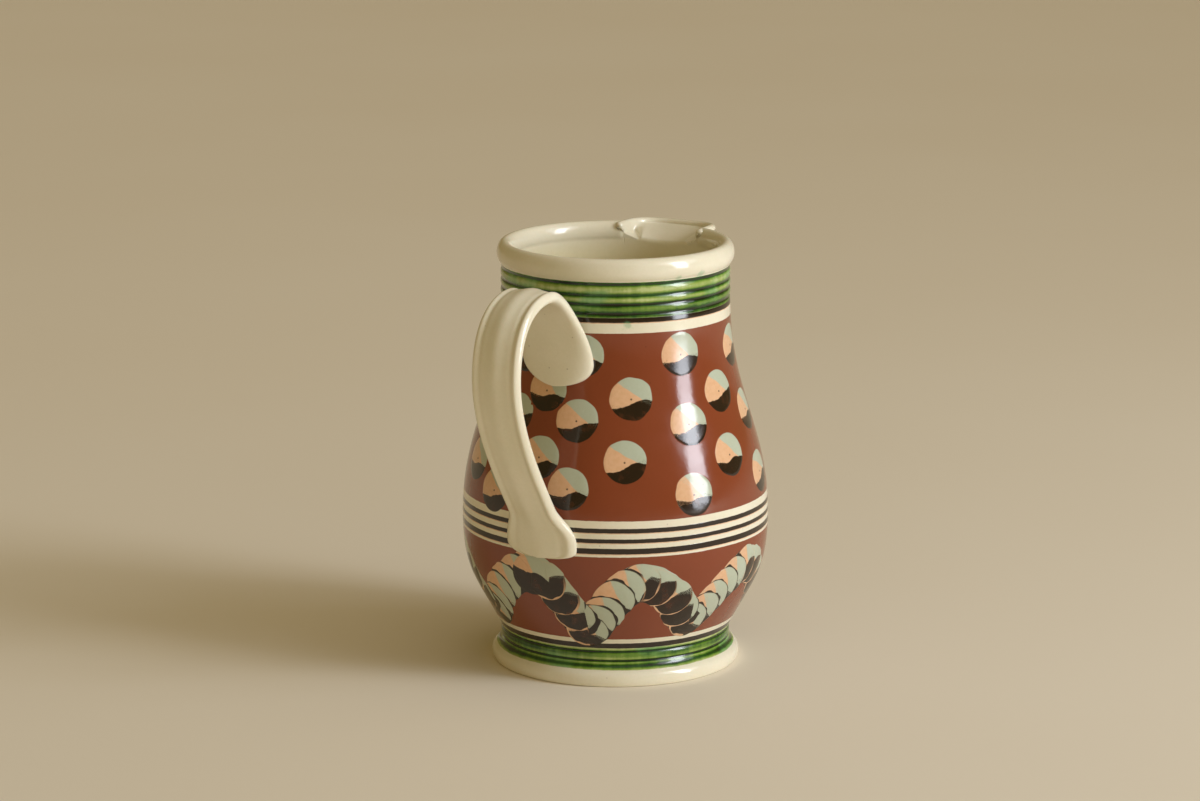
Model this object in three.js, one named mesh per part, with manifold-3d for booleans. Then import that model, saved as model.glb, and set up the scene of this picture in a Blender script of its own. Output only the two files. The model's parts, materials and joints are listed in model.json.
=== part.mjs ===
// A mochaware pitcher: a thrown and turned body, a ribbed strap handle and a let-in pouring lip.
// Millimetres, +Z up. The origin is the centre of the flat underside, the lip points to +X and
// the handle to -X, so the X-Z plane is the jug's plane of symmetry.
import * as THREE from "three";
import { mergeVertices } from "three/addons/utils/BufferGeometryUtils.js";
import Module from "manifold-3d";

// Body
const totalHeight = 167;
const bellyRadius = 60.15;
const bellyHeight = 58.5;
const neckRadius = 44.75;
const coveRadius = 45.1;
const footRadius = 48.8;
const footHeight = 6.3;
const footEdge = 1.1;
const wall = 4.2;
const floorThickness = 7;
const floorFillet = 13;

// How far the belly's outline runs on from the ends of its two curves before it bends
const lowerBellySpread = 9.3;
const lowerBellyRise = 18;
const lowerBellyFullness = 22.4;
const upperBellyFullness = 34.5;
const shoulderFade = 39;

// Rolled rim, an ellipse in section
const rimHalfWidth = 3.1;
const rimHalfHeight = 4.6;
const rimOverhang = 0.5;

// Turned grooves under the rim and in the cove above the foot
const grooveDepth = 0.4;
const neckGrooves = 4;
const neckGroovePitch = 3.6;
const neckGrooveWidth = 1.9;
const coveGrooves = 2;
const coveGroovePitch = 2.8;
const coveGrooveWidth = 1.5;
const coveStep = 3.1;
const coveFlare = 0.5;
const coveLedge = 1.3;

// Strap handle: its centre line runs up the neck, over the crest and down onto the belly
const strapThickness = 4.4;
const strapHalfWidth = 10.2;
const crestFromNeck = 23;
const crestBelowRim = 11.1;
const reachFromBelly = 33.1;
const reachBelowCrest = 27.9;
const rootBelowNeck = 27;
const rootStandoff = 0.8;
const landingAboveBelly = 8;
const terminalBelowBelly = 4.9;
const terminalSink = 1;

// How far the centre line runs on from each of its turning points
const rootPull = 25;
const crestInnerPull = 10.6;
const crestOuterPull = 16;
const reachUpperPull = 17.7;
const reachLowerPull = 22.6;
const landingOutPull = 8.7;
const landingUpPull = 14.6;

// The strap's flared ends: half width, the stretch that keeps it, the flare and the rounding
const rootEnd = { halfWidth: 15, flat: 12, flare: 30, rounding: 9 };
const terminalEnd = { halfWidth: 15.2, flat: 6, flare: 16, rounding: 5 };
const endFullness = 2.6;
const tipStart = 0.1;

// The strap's section, in shares of its half width
const ribHeight = 0.9;
const ribSpread = 0.3;
const beadHeight = 0.45;
const beadPlace = 0.84;
const beadSpread = 0.12;
const edgeSquareness = 8;

// Pouring lip, half an ellipse in plan: its outside, and the channel cut through rim and neck.
// Its span is its half width as a share of the neck's radius.
const lipSpan = 0.436;
const lipWall = 3.4;
const lipSetback = 4.7;
const lipDip = 1;
const lipOutside = {
  depth: 21,
  halfWidth: neckRadius * lipSpan,
  rootHalfWidth: 5,
  projection: 13.2,
  rootProjection: 0,
  widthCurve: 0.75,
  reachCurve: 1.25,
};
const lipChannel = {
  depth: 11,
  halfWidth: lipOutside.halfWidth - lipWall,
  rootHalfWidth: 2.5,
  projection: lipOutside.projection - lipWall,
  rootProjection: -1.5,
  widthCurve: 0.6,
  reachCurve: 0.8,
};

// Clear gap between pieces that touch, and the fineness of the curves
const gap = 0.3;
const turnSegments = 52;
const strapRings = 36;
const lipRings = 8;
const lipSides = 12;

// Places that follow from the sizes
const rimCentreHeight = totalHeight - rimHalfHeight;
const rimUnderside = totalHeight - 2 * rimHalfHeight;
const neckInnerRadius = neckRadius - wall;
const rimCentreRadius = neckInnerRadius + rimHalfWidth - rimOverhang;
const neckGrooveTop = rimUnderside - neckGrooveWidth / 2;
const neckStart = neckGrooveTop - (neckGrooves - 1) * neckGroovePitch - neckGrooveWidth / 2;
const coveStart = footHeight + coveStep;
const coveGrooveTop = coveStart + (coveGrooves - 1) * coveGroovePitch + coveGrooveWidth / 2;
const coveTop = coveGrooveTop + coveGrooveWidth / 2 + coveLedge;
const crestRadius = neckRadius + crestFromNeck;
const crestHeight = totalHeight - crestBelowRim;
const reachRadius = bellyRadius + reachFromBelly;
const reachHeight = crestHeight - reachBelowCrest;
const rootRadius = neckRadius + strapThickness / 2 + rootStandoff;
const rootFoot = neckStart - rootBelowNeck;
const landingRadius = bellyRadius + strapThickness / 2;
const landingHeight = bellyHeight + landingAboveBelly;
const terminalFoot = bellyHeight - terminalBelowBelly;
const lipCentre = neckRadius - lipSetback;

const creamGlaze = { color: 0xe6ddc2, roughness: 0.22, metalness: 0 };
const brownSlip = { color: 0x8c4a36, roughness: 0.2, metalness: 0 };

const wasm = await Module();
wasm.setup();

// A closed three.js geometry as a solid that can be joined and cut
function toSolid(geometry) {
  const bare = geometry.clone();
  bare.deleteAttribute("normal");
  bare.deleteAttribute("uv");
  const merged = mergeVertices(bare, 1e-3);
  return new wasm.Manifold(
    new wasm.Mesh({
      numProp: 3,
      vertProperties: new Float32Array(merged.attributes.position.array),
      triVerts: new Uint32Array(merged.index.array),
    }),
  );
}

function toGeometry(solid) {
  const mesh = solid.getMesh();
  const geometry = new THREE.BufferGeometry();
  geometry.setAttribute("position", new THREE.BufferAttribute(mesh.vertProperties, 3));
  geometry.setIndex(new THREE.BufferAttribute(mesh.triVerts, 1));
  geometry.computeVertexNormals();
  return geometry;
}

// Profiles are lists of Vector2, each the distance from the axis and the height.
function bezier(...corners) {
  return new THREE.CubicBezierCurve(...corners.map((corner) => new THREE.Vector2(...corner)));
}

// A profile moved sideways, away from the axis for a positive distance
function offset(profile, distance) {
  return profile.map((point, i) => {
    const before = profile[Math.max(i - 1, 0)];
    const after = profile[Math.min(i + 1, profile.length - 1)];
    const along = after.clone().sub(before).normalize();
    return new THREE.Vector2(point.x + along.y * distance, point.y - along.x * distance);
  });
}

// V-shaped grooves round a straight stretch, from the lowest to the highest
function grooveRun(top, count, pitch, width, radius) {
  const points = [];
  for (let i = count - 1; i >= 0; i--) {
    const middle = top - i * pitch;
    points.push(new THREE.Vector2(radius, middle - width / 2));
    points.push(new THREE.Vector2(radius - grooveDepth, middle));
    points.push(new THREE.Vector2(radius, middle + width / 2));
  }
  return points;
}

function footProfile() {
  const middle = footHeight / 2;
  const edge = new THREE.EllipseCurve(
    footRadius - footEdge,
    middle,
    footEdge,
    middle,
    -Math.PI / 2,
    0,
  );
  const shoulder = bezier(
    [footRadius, middle],
    [footRadius, footHeight],
    [coveRadius, footHeight],
    [coveRadius, coveStart],
  );
  return [...edge.getPoints(3), ...shoulder.getPoints(5).slice(1, -1)];
}

// The belly is two curves, with the outline upright at its widest point and at the neck.
function bellyProfile(lowerSteps, upperSteps) {
  const startRadius = coveRadius + coveFlare;
  const lower = bezier(
    [startRadius, coveTop],
    [startRadius + lowerBellySpread, coveTop + lowerBellyRise],
    [bellyRadius, bellyHeight - lowerBellyFullness],
    [bellyRadius, bellyHeight],
  );
  const upper = bezier(
    [bellyRadius, bellyHeight],
    [bellyRadius, bellyHeight + upperBellyFullness],
    [neckRadius, neckStart - shoulderFade],
    [neckRadius, neckStart],
  );
  return [...lower.getPoints(lowerSteps), ...upper.getPoints(upperSteps).slice(1)];
}

function rimArc(from, to, steps) {
  const arc = new THREE.EllipseCurve(
    rimCentreRadius,
    rimCentreHeight,
    rimHalfWidth,
    rimHalfHeight,
    from,
    to,
  );
  return arc.getPoints(steps);
}

function outerRim() {
  const join = Math.acos((neckRadius - rimCentreRadius) / rimHalfWidth);
  return rimArc(-join, Math.PI / 2, 7);
}

function outerProfile() {
  return [
    ...footProfile(),
    ...grooveRun(coveGrooveTop, coveGrooves, coveGroovePitch, coveGrooveWidth, coveRadius),
    ...bellyProfile(7, 8).slice(0, -1),
    ...grooveRun(neckGrooveTop, neckGrooves, neckGroovePitch, neckGrooveWidth, neckRadius),
    ...outerRim(),
  ];
}

// From the rim's crest down the inside, under the rim's overhang, to the middle of the floor
function innerProfile() {
  const join = Math.acos((rimCentreRadius - neckInnerRadius) / rimHalfWidth);
  const belly = offset(bellyProfile(6, 6), -wall)
    .filter((point) => point.y > floorThickness + floorFillet)
    .reverse();
  const [above, foot] = belly.slice(-2);
  const slope = (above.x - foot.x) / (above.y - foot.y);
  const corner = new THREE.Vector2(foot.x - slope * (foot.y - floorThickness), floorThickness);
  const floorEdge = new THREE.Vector2(corner.x - floorFillet, floorThickness);
  const fillet = new THREE.QuadraticBezierCurve(foot, corner, floorEdge);
  return [
    ...rimArc(Math.PI / 2, Math.PI + join, 6).slice(1),
    ...belly,
    ...fillet.getPoints(4).slice(1),
    new THREE.Vector2(0, floorThickness),
  ];
}

function turned(profile) {
  return toSolid(new THREE.LatheGeometry(profile, turnSegments).rotateX(Math.PI / 2));
}

// The body filled to its axis, without its grooves and grown by the gap: it trims what is luted on.
function bodyEnvelope() {
  const grown = offset([...bellyProfile(7, 8), ...outerRim()], gap);
  const bottom = new THREE.Vector2(0, grown[0].y);
  const top = new THREE.Vector2(0, grown[grown.length - 1].y);
  return turned([bottom, ...grown, top]);
}

// A closed skin over rings of equally many points, each ring a list of Vector3
function loft(rings) {
  const sides = rings[0].length;
  const positions = rings.flat().flatMap((point) => [point.x, point.y, point.z]);
  const index = [];
  for (let i = 0; i + 1 < rings.length; i++) {
    for (let j = 0; j < sides; j++) {
      const a = i * sides + j;
      const b = i * sides + ((j + 1) % sides);
      index.push(a, b, a + sides, b, b + sides, a + sides);
    }
  }
  const closeEnd = (ring, order) => {
    const centre = new THREE.Vector3();
    rings[ring].forEach((point) => centre.addScaledVector(point, 1 / sides));
    const middle = positions.push(centre.x, centre.y, centre.z) / 3 - 1;
    for (let j = 0; j < sides; j++) {
      const edge = [ring * sides + j, ring * sides + ((j + 1) % sides)];
      index.push(edge[order], edge[1 - order], middle);
    }
  };
  closeEnd(0, 1);
  closeEnd(rings.length - 1, 0);
  const geometry = new THREE.BufferGeometry();
  geometry.setAttribute("position", new THREE.Float32BufferAttribute(positions, 3));
  geometry.setIndex(index);
  return toSolid(geometry);
}

// The strap's centre line in the jug's plane of symmetry, as a profile
function strapPath() {
  const path = new THREE.CurvePath();
  path.add(bezier(
    [rootRadius, rootFoot],
    [rootRadius, rootFoot + rootPull],
    [crestRadius - crestInnerPull, crestHeight],
    [crestRadius, crestHeight],
  ));
  path.add(bezier(
    [crestRadius, crestHeight],
    [crestRadius + crestOuterPull, crestHeight],
    [reachRadius, reachHeight + reachUpperPull],
    [reachRadius, reachHeight],
  ));
  path.add(bezier(
    [reachRadius, reachHeight],
    [reachRadius, reachHeight - reachLowerPull],
    [landingRadius + landingOutPull, landingHeight + landingUpPull],
    [landingRadius, landingHeight],
  ));
  path.add(bezier(
    [landingRadius, landingHeight],
    [landingRadius - terminalSink, (2 * landingHeight + terminalFoot) / 3],
    [landingRadius - terminalSink, (landingHeight + 2 * terminalFoot) / 3],
    [landingRadius - terminalSink, terminalFoot],
  ));
  return path;
}

// What an end adds to the strap's half width: all of it on its flat, then less along half a cosine
function flare(distance, end) {
  const share = Math.min(Math.max((distance - end.flat) / end.flare, 0), 1);
  return (end.halfWidth - strapHalfWidth) * (0.5 + 0.5 * Math.cos(Math.PI * share));
}

// From 0 at the strap's rounded end to 1 where its full width is reached
function rounding(distance, end) {
  const share = Math.min((distance + tipStart) / end.rounding, 1);
  return (1 - (1 - share) ** endFullness) ** (1 / endFullness);
}

function strapWidth(fromRoot, fromTerminal) {
  const width = strapHalfWidth + flare(fromRoot, rootEnd) + flare(fromTerminal, terminalEnd);
  return width * rounding(fromRoot, rootEnd) * rounding(fromTerminal, terminalEnd);
}

// The strap's section as (across, outward): a crowned rib, valleys and edge beads, flat inside
function strapSection(halfWidth) {
  const half = strapThickness / 2;
  const edge = (u) => Math.sqrt(1 - Math.abs(u) ** edgeSquareness);
  const outer = [-1, -0.94, -0.8, -0.58, -0.35, 0, 0.35, 0.58, 0.8, 0.94, 1].map((u) => {
    const rib = ribHeight * Math.exp(-((u / ribSpread) ** 2));
    const bead = beadHeight * Math.exp(-(((Math.abs(u) - beadPlace) / beadSpread) ** 2));
    return [u * halfWidth, (half + rib + bead) * edge(u)];
  });
  const inner = [0.94, 0.6, 0, -0.6, -0.94].map((u) => [u * halfWidth, -half * edge(u)]);
  return [...outer, ...inner];
}

function makeHandle() {
  const path = strapPath();
  const length = path.getLength();
  const rings = [];
  for (let i = 0; i <= strapRings; i++) {
    const share = 0.5 - 0.5 * Math.cos((Math.PI * i) / strapRings);
    const centre = path.getPointAt(share);
    const tangent = path.getTangentAt(share);
    const halfWidth = strapWidth(share * length, (1 - share) * length);
    rings.push(
      strapSection(halfWidth).map(([across, out]) => {
        const radius = centre.x - tangent.y * out;
        return new THREE.Vector3(-radius, across, centre.y + tangent.x * out);
      }),
    );
  }
  return loft(rings).subtract(bodyEnvelope());
}

// A plan section of the lip: rise runs from 0 at its root on the neck to 1 at its pouring edge.
function lipSection(rise, shape, back) {
  const height = totalHeight - shape.depth * (1 - rise);
  const grow = (from, to, curve) => from + (to - from) * rise ** curve;
  const halfWidth = grow(shape.rootHalfWidth, shape.halfWidth, shape.widthCurve);
  const projection = grow(shape.rootProjection, shape.projection, shape.reachCurve);
  const length = neckRadius + projection - lipCentre;
  const front = new THREE.EllipseCurve(
    lipCentre,
    0,
    length,
    halfWidth,
    -Math.PI / 2,
    Math.PI / 2,
  );
  const curved = front.getPoints(lipSides).map((point) => {
    const forward = (point.x - lipCentre) / length;
    return new THREE.Vector3(point.x, point.y, height - lipDip * rise * forward ** 2);
  });
  const [left, right] = [-halfWidth, halfWidth].map((y) => new THREE.Vector3(back, y, height));
  return [left, ...curved, right];
}

function lipBlock(shape, back, top) {
  const rings = [];
  for (let i = 0; i <= lipRings; i++) rings.push(lipSection((top * i) / lipRings, shape, back));
  return loft(rings);
}

// The channel is cut through the neck and carried outwards by the lip; it runs out above both.
function channel() {
  return lipBlock(lipChannel, neckInnerRadius / 2, 1 + lipWall / lipChannel.depth);
}

function makeBody() {
  const axisFoot = new THREE.Vector2(0, 0);
  return turned([axisFoot, ...outerProfile(), ...innerProfile()]).subtract(channel());
}

function makeSpout() {
  return lipBlock(lipOutside, neckInnerRadius, 1).subtract(channel()).subtract(bodyEnvelope());
}

const pieces = [
  ["body", makeBody(), brownSlip],
  ["handle", makeHandle(), creamGlaze],
  ["spout", makeSpout(), creamGlaze],
];

const pitcher = new THREE.Group();
pitcher.name = "mochaware_pitcher";
for (const [name, solid, finish] of pieces) {
  const mesh = new THREE.Mesh(toGeometry(solid), new THREE.MeshStandardMaterial(finish));
  mesh.name = name;
  pitcher.add(mesh);
}

export default pitcher;
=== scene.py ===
"""The looks of a mochaware pitcher: a turned, slip-decorated jug with a ribbed strap handle and a let-in lip.

Sizes are in millimetres and become metres where a mesh or a light is made. The jug stands on z = 0, its lip
points to +X and its handle to -X.
"""
import json
import logging
import math
from dataclasses import dataclass, field
from enum import Enum
from typing import Optional, Union

import bpy
import numpy as np
from mathutils import Matrix, Vector

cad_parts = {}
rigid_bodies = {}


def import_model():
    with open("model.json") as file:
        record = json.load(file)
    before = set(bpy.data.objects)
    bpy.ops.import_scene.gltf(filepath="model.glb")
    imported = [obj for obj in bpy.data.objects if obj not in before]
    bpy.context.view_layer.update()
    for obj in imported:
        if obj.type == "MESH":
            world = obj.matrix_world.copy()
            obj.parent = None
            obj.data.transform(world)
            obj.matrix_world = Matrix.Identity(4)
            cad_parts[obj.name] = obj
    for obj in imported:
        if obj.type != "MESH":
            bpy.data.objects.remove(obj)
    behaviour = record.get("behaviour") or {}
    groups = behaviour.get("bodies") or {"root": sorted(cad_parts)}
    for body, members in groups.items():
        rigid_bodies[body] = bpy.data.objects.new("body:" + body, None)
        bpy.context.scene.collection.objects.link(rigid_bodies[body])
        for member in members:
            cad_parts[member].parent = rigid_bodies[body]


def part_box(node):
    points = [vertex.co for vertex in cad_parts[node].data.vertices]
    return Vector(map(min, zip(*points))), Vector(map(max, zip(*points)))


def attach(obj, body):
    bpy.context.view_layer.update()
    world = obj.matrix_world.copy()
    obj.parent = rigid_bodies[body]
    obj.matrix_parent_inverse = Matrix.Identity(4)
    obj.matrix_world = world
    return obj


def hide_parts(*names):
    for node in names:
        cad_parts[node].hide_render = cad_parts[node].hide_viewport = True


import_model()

log = logging.getLogger("pitcher")

MM = 0.001
BODY = "root"
FULL_TURN = 2 * math.pi
Array = np.ndarray
Socket = bpy.types.NodeSocket
Plug = Union[Socket, float, tuple]
UP_AND_RIGHT = (0.55, 0.83, 0.0)
FAR = 9.0


def linear(red: int, green: int, blue: int) -> tuple[float, float, float, float]:
    """A screen colour from 0 to 255 as the linear colour that a shader takes.

    Args:
        red, green, blue: the screen colour.

    Returns:
        The linear red, green and blue, with an alpha of 1.
    """
    shares = np.array([red, green, blue]) / 255
    toned = np.where(shares <= 0.04045, shares / 12.92, ((shares + 0.055) / 1.055) ** 2.4)
    return (*(float(share) for share in toned), 1.0)


class Slot(Enum):
    """The record's material slots."""

    DECORATED = "slip_decorated_body"
    CREAM = "cream_glaze"


class Slip(Enum):
    """The clays and slips under the clear glaze, and a cream yellowed as painted shade for deep inside the
    jug.
    """

    CREAM = linear(235, 229, 207)
    # Painted shade and bounced light: the cream made yellower deep inside the jug, not a slip of its own
    CREAM_INSIDE_PAINTED_SHADE = linear(237, 227, 190)
    RED_BROWN = linear(132, 63, 36)
    DARK = linear(34, 20, 12)
    TAN = linear(228, 184, 146)
    BLUE_GREEN = linear(186, 194, 174)


class Green(Enum):
    """The green glaze, from thin on a ridge to pooled in a groove."""

    THIN = linear(186, 198, 132)
    LEAF = linear(146, 168, 84)
    MID = linear(98, 134, 44)
    DEEP = linear(30, 78, 16)
    POOLED = linear(10, 24, 4)
    TEAL = linear(104, 172, 122)


# Shapes as arrays


def cubic(start: tuple, out: tuple, back: tuple, end: tuple, count: int) -> Array:
    """Points on a cubic Bezier curve: each corner weighted by its Bernstein polynomial.

    Args:
        start, out, back, end: the curve's four corners, of any dimension.
        count: how many points.

    Returns:
        An array of count points.
    """
    t = np.linspace(0, 1, count)[:, None]
    s = 1 - t
    corners = np.array([start, out, back, end], float)
    return s**3 * corners[0] + 3 * s * s * t * corners[1] + 3 * s * t * t * corners[2] + t**3 * corners[3]


def ellipse(centre: tuple, halves: tuple, first: float, last: float, count: int) -> Array:
    """Points on an ellipse: the centre plus the half sizes times cosine and sine.

    Args:
        centre: its centre.
        halves: its half width and half height.
        first, last: the angles where the arc starts and ends, in degrees.
        count: how many points.

    Returns:
        An array of count points.
    """
    angle = np.radians(np.linspace(first, last, count))
    return np.stack([centre[0] + halves[0] * np.cos(angle), centre[1] + halves[1] * np.sin(angle)], 1)


def run_lengths(points: Array) -> Array:
    """The distance along a line of points, from 0 at its first point."""
    steps = np.linalg.norm(np.diff(points, axis=0), axis=1)
    return np.concatenate([[0], np.cumsum(steps)])


def spaced(points: Array, places: Array) -> Array:
    """A line of points read again at other places along it.

    Args:
        points: the line.
        places: shares of its length, from 0 to 1.

    Returns:
        One point for each place.
    """
    along = run_lengths(points)
    return np.stack([np.interp(places * along[-1], along, points[:, i]) for i in range(points.shape[1])], 1)


def eased(value: Array, low: float, high: float) -> Array:
    """0 below low, 1 above high, and 3t^2 - 2t^3 between them."""
    t = np.clip((value - low) / (high - low), 0, 1)
    return t * t * (3 - 2 * t)


# Meshes


@dataclass
class Skin:
    """A closed grid of points: rows along a section or profile, columns round or along the piece.

    Attributes:
        name: the piece's name.
        points: rows by columns by 3, in millimetres.
        wraps: whether the last column joins the first.
        loops: whether the last row joins the first.
        marks: values for each corner of each quad, rows by columns by 4 by 3.
    """

    name: str
    points: Array
    wraps: bool = True
    loops: bool = False
    marks: dict[str, Array] = field(default_factory=dict)

    def quads(self) -> Array:
        """The grid's faces, wound so that rows cross columns outwards.

        Returns:
            Rows by columns by 4 point numbers.
        """
        rows, columns = self.points.shape[:2]
        index = np.arange(rows * columns).reshape(rows, columns)
        if self.wraps:
            index = np.concatenate([index, index[:, :1]], 1)
        if self.loops:
            index = np.concatenate([index, index[:1]], 0)
        return np.stack([index[:-1, :-1], index[:-1, 1:], index[1:, 1:], index[1:, :-1]], -1)

    def ends(self) -> tuple[Array, Array]:
        """Closes the grid's two open ends by fans round their middles.

        Returns:
            The two middle points, and the fans' triangles.
        """
        rows, columns = self.points.shape[:2]
        index = np.arange(rows * columns).reshape(rows, columns)
        first, last = (index[0], index[-1]) if self.wraps else (index[:, 0], index[:, -1])
        middles = np.stack([self.points.reshape(-1, 3)[ring].mean(0) for ring in (first, last)])
        fans = []
        for number, ring in enumerate((first, last[::-1])):
            if not self.wraps:
                ring = ring[::-1]
            middle = np.full(len(ring), rows * columns + number)
            fans.append(np.stack([middle, np.roll(ring, -1), ring], 1))
        return middles, np.concatenate(fans)

    def build(self) -> bpy.types.Object:
        """Writes the grid into a new smooth mesh object.

        Returns:
            The object, at the origin, in metres.
        """
        quads = self.quads()
        middles, fans = self.ends()
        points = np.concatenate([self.points.reshape(-1, 3), middles]) * MM
        corners = np.concatenate([quads.reshape(-1), fans.reshape(-1)])
        quad_count = quads.size // 4
        starts = np.concatenate([np.arange(quad_count) * 4, quad_count * 4 + np.arange(len(fans)) * 3])
        mesh = bpy.data.meshes.new(self.name)
        mesh.vertices.add(len(points))
        mesh.vertices.foreach_set("co", points.astype(np.float32).ravel())
        mesh.loops.add(len(corners))
        mesh.loops.foreach_set("vertex_index", corners.astype(np.int32))
        mesh.polygons.add(len(starts))
        mesh.polygons.foreach_set("loop_start", starts.astype(np.int32))
        mesh.update(calc_edges=True)
        for name, values in self.marks.items():
            flat = np.zeros((len(corners), 3), np.float32)
            flat[: quad_count * 4] = values.reshape(-1, 3)
            mesh.attributes.new(name, "FLOAT_VECTOR", "CORNER").data.foreach_set("vector", flat.ravel())
        mesh.shade_smooth()
        thing = bpy.data.objects.new(self.name, mesh)
        bpy.context.scene.collection.objects.link(thing)
        return thing


# Shader nodes


class Bench:
    """Makes and joins the nodes of one material or node group."""

    def __init__(self, tree: bpy.types.NodeTree) -> None:
        """Starts on an empty tree."""
        self.tree = tree
        self.tree.nodes.clear()

    def plug(self, socket: Socket, value: Plug) -> None:
        """Joins a socket to another, or sets its plain value.

        Args:
            socket: the input.
            value: an output, or a plain value.
        """
        if isinstance(value, bpy.types.NodeSocket):
            self.tree.links.new(value, socket)
        else:
            socket.default_value = value

    def node(
        self, kind: str, plugs: Optional[dict[Union[str, int], Plug]] = None, **settings: object
    ) -> bpy.types.Node:
        """Adds a node.

        Args:
            kind: the node's type.
            plugs: what goes into its inputs, by name or number.
            settings: its other properties.

        Returns:
            The node.
        """
        node = self.tree.nodes.new(kind)
        for name, value in settings.items():
            setattr(node, name, value)
        for key, value in (plugs or {}).items():
            self.plug(node.inputs[key], value)
        return node

    def maths(self, operation: str, *values: Plug) -> Socket:
        """One step of arithmetic."""
        return self.node("ShaderNodeMath", dict(enumerate(values)), operation=operation).outputs[0]

    def times(self, value: Plug, factor: Plug) -> Socket:
        """A value times a factor."""
        return self.maths("MULTIPLY", value, factor)

    def less(self, value: Plug, part: Plug) -> Socket:
        """A value less a part."""
        return self.maths("SUBTRACT", value, part)

    def scaled(self, value: Plug, factor: float, shift: float) -> Socket:
        """A value times a factor, plus a shift."""
        return self.maths("MULTIPLY_ADD", value, factor, shift)

    def vector(self, operation: str, *values: Plug) -> Socket:
        """One step of vector arithmetic."""
        return self.node("ShaderNodeVectorMath", dict(enumerate(values)), operation=operation).outputs[0]

    def length(self, place: Plug) -> Socket:
        """How far a place lies from the origin, its third number left out."""
        flat = self.stretched(place, (1.0, 1.0, 0.0))
        return self.node("ShaderNodeVectorMath", {0: flat}, operation="LENGTH").outputs["Value"]

    def towards(self, place: Plug, direction: tuple[float, float, float]) -> Socket:
        """How far a place lies in a direction: their dot product."""
        node = self.node("ShaderNodeVectorMath", {0: place, 1: direction}, operation="DOT_PRODUCT")
        return node.outputs["Value"]

    def parts(self, place: Plug) -> tuple[Socket, Socket, Socket]:
        """The three numbers of a place."""
        return tuple(self.node("ShaderNodeSeparateXYZ", {0: place}).outputs)

    def object_place(self) -> Socket:
        """The place on the piece, in metres from the origin."""
        return self.node("ShaderNodeTexCoord").outputs["Object"]

    def mark(self, name: str) -> Socket:
        """The three values that the mesh carries under a name."""
        return self.node("ShaderNodeAttribute", attribute_name=name).outputs["Vector"]

    def total(self, *values: Plug) -> Socket:
        """The sum of several values.

        Args:
            values: what is added.

        Returns:
            The sum.
        """
        result = values[0]
        for value in values[1:]:
            result = self.maths("ADD", result, value)
        return result

    def step(self, value: Plug, low: Plug, high: Plug, start: float = 0.0, end: float = 1.0) -> Socket:
        """A smooth step of the value, from start at low to end at high.

        Args:
            value: the value.
            low, high: where the step starts and ends.
            start, end: what it is before and after.

        Returns:
            The stepped value.
        """
        plugs = {"Value": value, "From Min": low, "From Max": high, "To Min": start, "To Max": end}
        node = self.node("ShaderNodeMapRange", plugs, interpolation_type="SMOOTHSTEP")
        return node.outputs["Result"]

    def band(self, value: Plug, low: float, high: float, soft: float) -> Socket:
        """1 where the value lies between low and high, with soft edges.

        Args:
            value: the value.
            low, high: the band's two edges.
            soft: half the width of each edge.

        Returns:
            The mask.
        """
        over = self.step(value, low - soft, low + soft)
        under = self.step(value, high - soft, high + soft, 1.0, 0.0)
        return self.times(over, under)

    def either(self, *masks: Plug) -> Socket:
        """The greatest of several masks.

        Args:
            masks: the masks.

        Returns:
            The mask of them all.
        """
        result = masks[0]
        for mask in masks[1:]:
            result = self.maths("MAXIMUM", result, mask)
        return result

    def mix(self, factor: Plug, under: Plug, over: Plug, blend: str = "MIX") -> Socket:
        """Lays one colour over another.

        Args:
            factor: how much of the upper colour shows.
            under, over: the two colours.
            blend: how they are joined.

        Returns:
            The colour.
        """
        node = self.node("ShaderNodeMix", data_type="RGBA", blend_type=blend)
        self.plug(node.inputs[0], factor)
        self.plug(node.inputs[6], under)
        self.plug(node.inputs[7], over)
        return node.outputs[2]

    def noise(self, place: Plug, scale: float, detail: float = 2.0, rough: float = 0.5) -> Socket:
        """Cloudy noise from 0 to 1 at a place."""
        plugs = {"Vector": place, "Scale": scale, "Detail": detail, "Roughness": rough}
        return self.node("ShaderNodeTexNoise", plugs).outputs[0]

    def stretched(self, place: Plug, stretch: tuple[float, float, float]) -> Socket:
        """A place with its axes scaled, so that noise read there has a grain."""
        return self.vector("MULTIPLY", place, stretch)

    def ramp(self, value: Plug, stops: list[tuple[float, tuple]]) -> Socket:
        """A colour ramp with eased stretches between its stops.

        Args:
            value: the value that is looked up.
            stops: places and their colours.

        Returns:
            The colour.
        """
        node = self.node("ShaderNodeValToRGB", {0: value})
        node.color_ramp.interpolation = "EASE"
        while len(node.color_ramp.elements) < len(stops):
            node.color_ramp.elements.new(0.5)
        for element, (place, colour) in zip(node.color_ramp.elements, stops):
            element.position = place
            element.color = colour
        return node.outputs[0]

    def group(self, tree: bpy.types.NodeTree, plugs: dict[str, Plug]) -> bpy.types.Node:
        """Places a node group.

        Args:
            tree: the group.
            plugs: what goes into its inputs.

        Returns:
            The group's node.
        """
        node = self.node("ShaderNodeGroup", node_tree=tree)
        for name, value in plugs.items():
            self.plug(node.inputs[name], value)
        return node


def new_material(name: str) -> tuple[bpy.types.Material, Bench]:
    """Starts a material.

    Args:
        name: its name.

    Returns:
        The material and its bench.
    """
    material = bpy.data.materials.new(name)
    material.use_nodes = True
    return material, Bench(material.node_tree)


def new_group(
    name: str, inputs: dict[str, str], outputs: dict[str, str]
) -> tuple[Bench, bpy.types.Node, bpy.types.Node]:
    """Starts a node group.

    Args:
        name: its name.
        inputs, outputs: its sockets, each with its kind.

    Returns:
        The group's bench, its input node and its output node.
    """
    tree = bpy.data.node_groups.new(name, "ShaderNodeTree")
    bench = Bench(tree)
    for way, sockets in (("INPUT", inputs), ("OUTPUT", outputs)):
        for label, kind in sockets.items():
            tree.interface.new_socket(name=label, in_out=way, socket_type=f"NodeSocket{kind}")
    return bench, bench.node("NodeGroupInput"), bench.node("NodeGroupOutput")


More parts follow.
